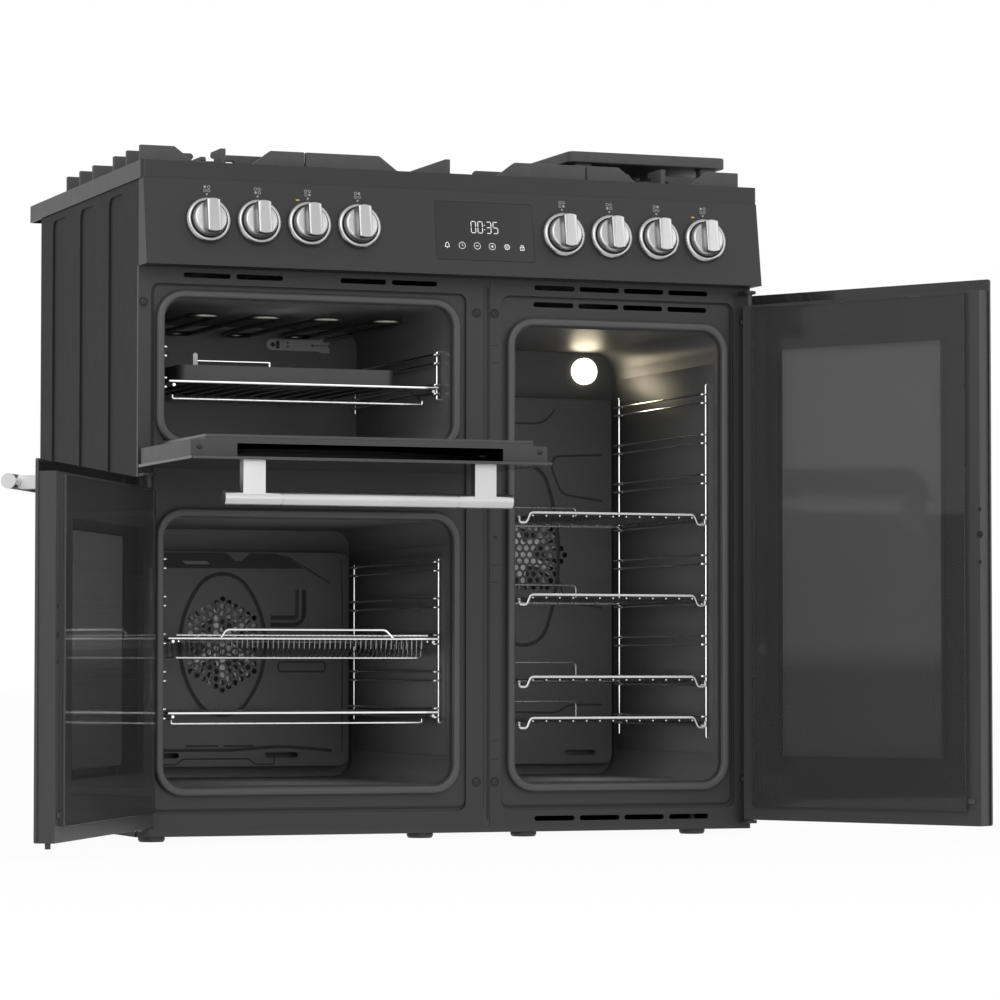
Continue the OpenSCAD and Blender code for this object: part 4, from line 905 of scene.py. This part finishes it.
def fan_wheel(node, x, z, back):
    spot = facing_front(back) @ Matrix.Translation((x * MM, z * MM, 0))
    dark = lathe(((0, -33), (4, -33), (4, 9), (64.6, 9), (65, 9.4), (65, 10.1), (64.6, 10.5),
                  (0, 10.5)), 64)
    dark.transform(spot)
    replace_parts(finished(node + "_disc", dark, dark_sheet_and_fan_shade, node), node)
    bright = lathe(((0, 10.5), (11, 10.5), (11, 19.2), (10.2, 20), (4.5, 20), (4, 18.5),
                    (0, 18.5)))
    star = [circle(0, 0, 54 if i % 2 else 20, 30 * i + 8)[0] for i in range(12)]
    prism(bright, star, 11, 12.2)
    for i in range(BLADES):
        bmesh.ops.create_cube(bright, size=1, matrix=(
            Matrix.Rotation(math.radians(360 * i / BLADES), 4, "Z")
            @ Matrix.Translation((50 * MM, 0, 16.6 * MM))
            @ Matrix.Rotation(BLADE_TILT, 4, "X")
            @ Matrix.Diagonal((22 * MM, 1.2 * MM, 12 * MM, 1))))
    bright.transform(spot)
    finished(node + "_blades", bright, painted_glint_fan_sheet, node)


fan_wheel("main_fan_wheel", *MAIN_FAN, 150)
fan_wheel("tall_fan_wheel", *TALL_FAN, 115)
print("two fans")

# %% [markdown]
# The plates are pressed: an oval groove goes round the holes, and ribs stiffen the rest.
# A pressing shows as a dark line where it turns away from the light, so each is a shallow
# bead along its line, painted near black as that shade. One raised ridge keeps the plate's
# own enamel, and two short ridges and a tongue are painted pale as highlights.

# %% Pressings in the oven plates
MAIN_PLATE, TALL_PLATE = 120, 85


def oval(wide, high, grow, steps=20):
    """An oval of four arcs, as the solid model's groove has."""
    end = 0.72 * wide
    up = high - end
    side = (wide ** 2 + up ** 2 - end ** 2) / (2 * (wide - end))
    lean = math.degrees(math.atan2(up, side - wide))
    half = (circle(wide - side, 0, side + grow, -lean, lean, steps)
            + circle(0, up, end + grow, lean, 180 - lean, steps)[1:-1])
    return half + [(-x, -y) for x, y in half]


def beads(name, depth, strokes, finish, flat=0.10, centre=(0, 0)):
    """Shallow beads along strokes that lie at one depth."""
    bm = bmesh.new()
    draw(bm, strokes, *centre)
    bm.transform(facing_front(depth) @ Matrix.Diagonal((1, 1, flat, 1)))
    return finished(name, bm, finish, "fan_baffles")


beads("main_groove", MAIN_PLATE + 0.8, [(oval(67.5, 105, -3), 5.4, 0, True)], painted_shade_and_mark_black,
      centre=MAIN_FAN)
beads("tall_groove", TALL_PLATE + 0.8, [(oval(59, 137, -3), 5.4, 0, True)], painted_shade_and_mark_black,
      centre=TALL_FAN)
beads("main_pressings", MAIN_PLATE, [
    ([(-134, 300), (-88, 300), (-88, 346)], 17, 14),
    ([(-122, 241), (-50, 241), (-50, 227), (-122, 227)], 2.6, 6, True),
    ([(-262, 119.6), (-213, 119.5)], 2.6),
    ([(-205, 119.4), (-159, 119.2)], 2.6),
    ([(-380, 114), (-190, 113.5), (-118, 119), (-40, 112)], 4.5, 20),
    ([(-380, 93), (-276, 93), (-266, 101), (-167, 101), (-157, 93), (-128, 93), (-128, 108)],
     2.2, 3),
    ([(-112, 396), (-43, 356)], 2.2),
    ([(-26, 392), (-24, 330), (-24, 110)], 2.0, 10)], painted_shade_and_mark_black)
beads("main_ridge", MAIN_PLATE - 0.6, [([(-136, 300), (-88, 300), (-88, 348)], 5, 12)],
      baffle_enamel, 0.2)
beads("tall_pressings", TALL_PLATE, [
    ([(190, 594), (270, 594.4), (283, 600), (296, 614.8)], 3, 8),
    ([(372, 549.6), (296, 546), (290, 532), (307, 490), (372, 481)], 3.4, 12),
    ([(300, 372), (312, 330), (372, 322)], 3, 12),
    ([(190, 168), (300, 166), (318, 178), (372, 178)], 3, 12)], painted_shade_and_mark_black)
# The tall plate's two short ridges are painted pale as highlights.
beads("tall_ridges", TALL_PLATE, [([(306, 626.5), (356, 627)], 1.8),
                                  ([(306, 620), (344, 620.5)], 1.8)], pale_rim_and_highlight_grey, 0.4)
# The notched band is painted shade under a broad pressing, and the tongue on it is a painted
# highlight.
BAND = ((-382, 375.4), (-83, 376.5), (-96, 385), (-112, 394), (-126, 398.4), (-165, 398.6),
        (-177.6, 387), (-188, 387), (-201, 398.6), (-382, 398.6))
TONGUE = ((-268, 386.4), (-262, 381.6), (-226, 381.8), (-231, 386.4))
plates("main_notched_band", [(BAND, 0, 0.3)], facing_front(MAIN_PLATE), painted_shade_and_mark_black,
       "fan_baffles")
plates("main_tongue", [(TONGUE, 0.2, 0.9)], facing_front(MAIN_PLATE), pale_rim_and_highlight_grey, "fan_baffles")
print("pressings in two plates")

# %% [markdown]
# On the back wall of the grill oven sits a pressed bracket with a round end, two small
# square holes and a forked end. It is a plate with bevelled edges, and its holes and
# recesses are thin near-black plates on it, painted shade where they sink in.

# %% The bracket in the grill oven
BRACKET_Y = 119
bracket = bmesh.new()
prism(bracket, circle(-134, 702.6, 8.1, 90, 270, 10) + [
    (-62, 694.6), (-59, 692), (-45, 692), (-45.5, 699), (-50, 702.6), (-45.5, 706),
    (-45, 713.4), (-59, 713.4), (-62, 710.7)], 0, 2.4)
bevel(bracket, bracket.edges[:], 0.5)
bracket.transform(facing_front(BRACKET_Y))
finished("grill_bracket", bracket, bracket_grey, "grill_oven_liner", weighted=True)
plates("bracket_holes", [
    disc(-132.5, 702.6, 3.4, 2.3, 2.6), block(-128, 697, -122.5, 708, 2.3, 2.5),
    block(-111, 699, -108.6, 701.4, 2.3, 2.6), block(-111, 704.2, -108.6, 706.6, 2.3, 2.6),
    block(-72, 702, -50, 703.2, 2.3, 2.6), disc(-72, 702.6, 1.9, 2.3, 2.6)],
    facing_front(BRACKET_Y), painted_shade_and_mark_black, "grill_oven_liner")
print("bracket")

# %% [markdown]
# Small screws with a cross recess hold the front frames and the grill door. Each recess is a
# thin near-black cross, painted shade, and a thin dark ring lies round each frame screw.
# Fine joint lines cross and follow the frames' rails, near-black bands along the steps round
# the frames' recessed fields are painted shadow, and the side doors have marks and a catch
# at their free edge.

# %% Screws, joint lines and catches
SCREW = ((4, -6), (4, 0.2), (3.7, 0.9), (2.8, 1.5), (1.4, 1.85), (0, 1.95))
FRAME_SCREWS = [(x, z) for x in (-441, 34.5, 61.5, 437) for z in (76, 721)]
DOOR_SCREWS = [(-433.5, 515.8), (34.9, 517.3)]
GRILL_DOOR_Y = -518.5
HINGE_X, HINGE_Y, DOOR_INSIDE = 438, -301, -295


def screws(places, y):
    """Screw heads at depth y, and the crosses in them."""
    heads, crosses = bmesh.new(), bmesh.new()
    for x, z in places:
        place = facing_front(y) @ Matrix.Translation((x * MM, z * MM, 0))
        add(heads, lathe(SCREW, 20), place)
        # Each cross is a thin near-black block in the head, painted shade in the recess.
        for i in range(2):
            bmesh.ops.create_cube(crosses, size=1, matrix=(
                place @ Matrix.Translation((0, 0, 1.75 * MM))
                @ Matrix.Rotation(math.radians(20 + 90 * i), 4, "Z")
                @ Matrix.Diagonal((4 * MM, 1 * MM, 0.45 * MM, 1))))
    return heads, crosses


heads, crosses = screws(FRAME_SCREWS, FRONT)
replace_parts(finished("screw_heads", heads, black_coat, "screws"), "screws")
# A thin dark ring round each frame screw.
plates("screw_dark_rings", [disc(x, z, 7, 0, 0.3) for x, z in FRAME_SCREWS], facing_front(FRONT),
       painted_shade_and_mark_black, "screws")
finished("screw_crosses", crosses, painted_shade_and_mark_black, "screws")
heads, crosses = screws(DOOR_SCREWS, GRILL_DOOR_Y)
finished("grill_door_screws", heads, black_coat, "grill_door_frame")
finished("grill_door_crosses", crosses, painted_shade_and_mark_black, "grill_door_frame")
beads("rail_joints", FRONT, [([(56, z), (67, z)], 1.2)
                             for z in (677, 653, 374, 350, 132, 107)]
      + [([(60, 412), (65, 412)], 5), ([(45.5, 40), (45.5, 757)], 1.6),
         ([(51.5, 24), (51.5, 757)], 2.4)], painted_shade_and_mark_black)
# Painted shadow: near-black bands along the step round each recessed field of the front frames.
beads("field_step_shadows", FRONT + 4, [
    ([(left, 42), (left, 746), (right, 746), (right, 42)], 4.4, 12, True)
    for left, right in ((-427, 21), (71, 418))], painted_shade_and_mark_black)


def opened(side):
    """The turn of a side door about its hinge, from closed to open."""
    hinge = at(math.copysign(HINGE_X, OPEN_TURN[side]), HINGE_Y, 0)
    return (Matrix.Translation(hinge) @ Matrix.Rotation(math.radians(OPEN_TURN[side]), 4, "Z")
            @ Matrix.Translation(-hinge))


def on_door(side, depth):
    """Lays a drawing on the inner face of an open side door, as seen from inside."""
    return (opened(side) @ Matrix.Translation(at(0, depth, 0))
            @ Matrix.Rotation(math.radians(90), 4, "X") @ Matrix.Diagonal((1, 1, -1, 1)))


MARKS = {"right": (55, (446, 3), (412, 5), (375, 3)),
         "left": (36, (307, 3), (272, 4), (239, 3))}
for side, (x, *marks) in MARKS.items():
    plates(side + "_latch_marks", [disc(x, z, radius, 0, 0.4) for z, radius in marks],
           on_door(side, DOOR_INSIDE - 0.5), painted_shade_and_mark_black, side + "_door_frame")
for side, near, far in (("right", 63, 86), ("left", 14, 37)):
    plates(side + "_catch", [block(near, 50, far, 57, 0, 1.5)], on_door(side, DOOR_INSIDE),
           pale_rim_and_highlight_grey, side + "_door_frame")

# %% [markdown]
# A third pane between the two glass sheets of a side door fills its window. Its grey is part
# tint and part painted reflection: it turns pale above a line about a quarter metre up, as
# the backdrop's horizon reflected in the window.

# %% Middle panes
for side, left, right, top in (("right", 112, 382, 684), ("left", -298, -40, 402)):
    plates(side + "_middle_pane", [block(left, 107, right, top, 0, 1.5)],
           on_door(side, DOOR_INSIDE - 7.5), window_tint_and_reflection, side + "_door_glass")
print("two middle panes")

# %% [markdown]
# The side walls carry thin clip-on sheets of enamelled steel, with long pressings that
# keep them flat.

# %% Wall sheets
SHEET_FRONT, SHEET_LOW = -262, 112


def wall_sheets(oven, walls, back, high):
    """A sheet on each side wall of an oven, which grows one millimetre from the wall."""
    for number, (x, side) in enumerate(zip(walls, (1, -1)), 1):
        bm = bmesh.new()
        prism(bm, *block(SHEET_FRONT, SHEET_LOW, back, high, 0, 1))
        bevel(bm, bm.edges[:], 0.4)
        for z in (SHEET_LOW + 14, high - 14, high - 22):
            flat_wire(bm, [(SHEET_FRONT + 12, z), (back - 12, z)], 2)
        bm.transform(Matrix(((0, 0, side, x * MM + middle.x), (1, 0, 0, middle.y),
                             (0, 1, 0, 0), (0, 0, 0, 1))))
        finished(f"{oven}_wall_sheet_{number}", bm, wall_enamel, oven + "_oven_liner")


wall_sheets("main", LEFT_OVEN, 128, 402)
wall_sheets("tall", RIGHT_OVEN, 95, 662)
print("four wall sheets")

# %% [markdown]
# The open side door stands on a pin at its free corner, which the cabinet catches when the
# door is closed.

# %% The pin under the left door
pin = lathe(((0, -7), (3.1, -7), (3.5, -6.6), (3.5, 0), (0, 0)), 24)
pin.transform(opened("left") @ Matrix.Translation(at(41, -305, 20)))
finished("left_door_pin", pin, black_coat, "left_door_frame")
print("one pin")

# %% [markdown]
# Each burner is a turned crown with a row of gas ports under a loose enamelled cap. The
# ports are small near-black blocks, painted shade where the holes sink in.

# %% Burners
BURNERS = ((-324, -189, 62), (-324, 54, 92), (0, -66, 128), (324, -189, 62), (324, 54, 92))
crowns, caps, ports = bmesh.new(), bmesh.new(), bmesh.new()
for x, y, wide in BURNERS:
    r, port_count = wide / 2, round(wide / 4)
    spot = Matrix.Translation(at(x, y, 906))
    add(crowns, lathe(((0, -14), (r - 10, -14), (r - 10, 0), (r, 0), (r, 1.6), (r - 2.5, 3),
                       (r - 3, 8), (r - 1.4, 9.4), (r - 1.2, 12), (0, 12)), 64), spot)
    add(caps, lathe(((0, 12), (r - 4.6, 12), (r - 4, 12.6), (r - 4, 14.4), (r - 5, 15.8),
                     (r - 7, 16.8), (0, 17)), 64), spot)
    for i in range(port_count):
        bmesh.ops.create_cube(ports, size=1, matrix=(
            spot @ Matrix.Rotation(math.radians(360 * i / port_count), 4, "Z")
            @ Matrix.Translation(((r - 3.2) * MM, 0, 5.6 * MM))
            @ Matrix.Diagonal((1.4 * MM, 2.2 * MM, 3.4 * MM, 1))))
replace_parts(finished("burner_crowns", crowns, burner_alloy, "burner_bases"), "burner_bases")
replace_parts(finished("burner_lids", caps, cast_iron, "burner_caps"), "burner_caps")
finished("burner_ports", ports, painted_shade_and_mark_black, "burner_bases")
print("five burners")

# %% [markdown]
# The picture has an even white background and soft light. The world is white for the
# camera and for reflections, and greyer as a light source, so pale parts don't clip. Three
# big soft lamps stand around the cooker, weak ones fill each oven, and a small warm one
# shines from the oven lamp's lens. The floor keeps a faint shadow.

# %% World
scene = bpy.context.scene
scene.view_settings.view_transform = "Standard"
world = bpy.data.worlds.new("white studio")
scene.world = world


def in_sight(nodes):
    """1 where the camera sees it, also in a reflection or through glass, and 0 for light."""
    paths = nodes.tree.nodes.new("ShaderNodeLightPath").outputs
    camera_ray, glossy_ray, through_ray = (Value(nodes, paths[name]) for name in (
        "Is Camera Ray", "Is Glossy Ray", "Is Transmission Ray"))
    return nodes.node("ShaderNodeMath", {"operation": "MINIMUM"},
                      (camera_ray + glossy_ray + through_ray, 1.0))


sky = Nodes(world)
sky.feed(sky.tree.nodes["Background"].inputs[0], sky.node(
    "ShaderNodeMix", {"data_type": "RGBA"},
    {0: in_sight(sky), 6: (0.55, 0.55, 0.55, 1), 7: (1, 1, 1, 1)}, output=2))
print("white world")

# %% Floor and lamps
SHADOWLESS = 0.95
bm = bmesh.new()
bmesh.ops.create_grid(bm, x_segments=8, y_segments=8, size=30)
data = bpy.data.meshes.new("floor")
bm.to_mesh(data)
bm.free()
floor = bpy.data.objects.new("floor", data)
scene.collection.objects.link(floor)
floor_finish = Finish("pale floor", Base_Color=(0.9, 0.9, 0.9, 1), Roughness=0.8)
white = floor_finish.node("ShaderNodeEmission")
diffuse = Value(floor_finish, floor_finish.shader.outputs[0])
blend = floor_finish.node("ShaderNodeMixShader", inputs=(
    in_sight(floor_finish) * SHADOWLESS, diffuse, white))
floor_finish.feed(floor_finish.tree.nodes["Material Output"].inputs[0], blend)
data.materials.append(floor_finish.material)


def lamp(name, place, power, size, aim, high=None, colour=(1, 1, 1)):
    """A soft lamp, round, or size wide and high high where that is given."""
    light = bpy.data.lights.new(name, "AREA")
    light.energy, light.color, light.size = power, colour, size
    light.shape = "RECTANGLE" if high else "DISK"
    if high:
        light.size_y = high
    holder = bpy.data.objects.new(name, light)
    holder.location = place
    holder.rotation_euler = (aim - place).to_track_quat("-Z", "Y").to_euler()
    scene.collection.objects.link(holder)


target = at(0, 0, 450)
lamp("key", at(-1500, -2600, 2300), 32, 2.4, target)
lamp("fill", at(2200, -2300, 1500), 16, 2.4, target)
lamp("low_front", at(-500, -3200, 500), 12, 1.8, target)
for oven, x, z, power, wide, high in (("grill", -206, 633, 0.22, 0.37, 0.17),
                                      ("main", -206, 254, 0.16, 0.37, 0.34),
                                      ("tall", 246, 390, 0.3, 0.28, 0.6)):
    lamp(oven + "_fill", at(x, -284, z), power, wide, at(x, 0, z), high)
lamp("oven_glow", at(352, 96, 672), 0.045, 0.05, at(358, 40, 700), colour=(1.0, 0.86, 0.6))
OVEN_LIGHTS = [(-206, 215, 1.0), (-206, 575, 0.45), (-206, 690, 0.3), (246, 150, 0.6),
               (246, 380, 0.2), (246, 560, 0.12)]
for x, z, power in OVEN_LIGHTS:
    light = bpy.data.lights.new("oven_light", "POINT")
    light.energy, light.shadow_soft_size = power, 0.05
    holder = bpy.data.objects.new("oven_light", light)
    holder.location = at(x, -165, z)
    holder.visible_camera = holder.visible_glossy = False
    scene.collection.objects.link(holder)
print("floor and", 7 + len(OVEN_LIGHTS), "lamps")
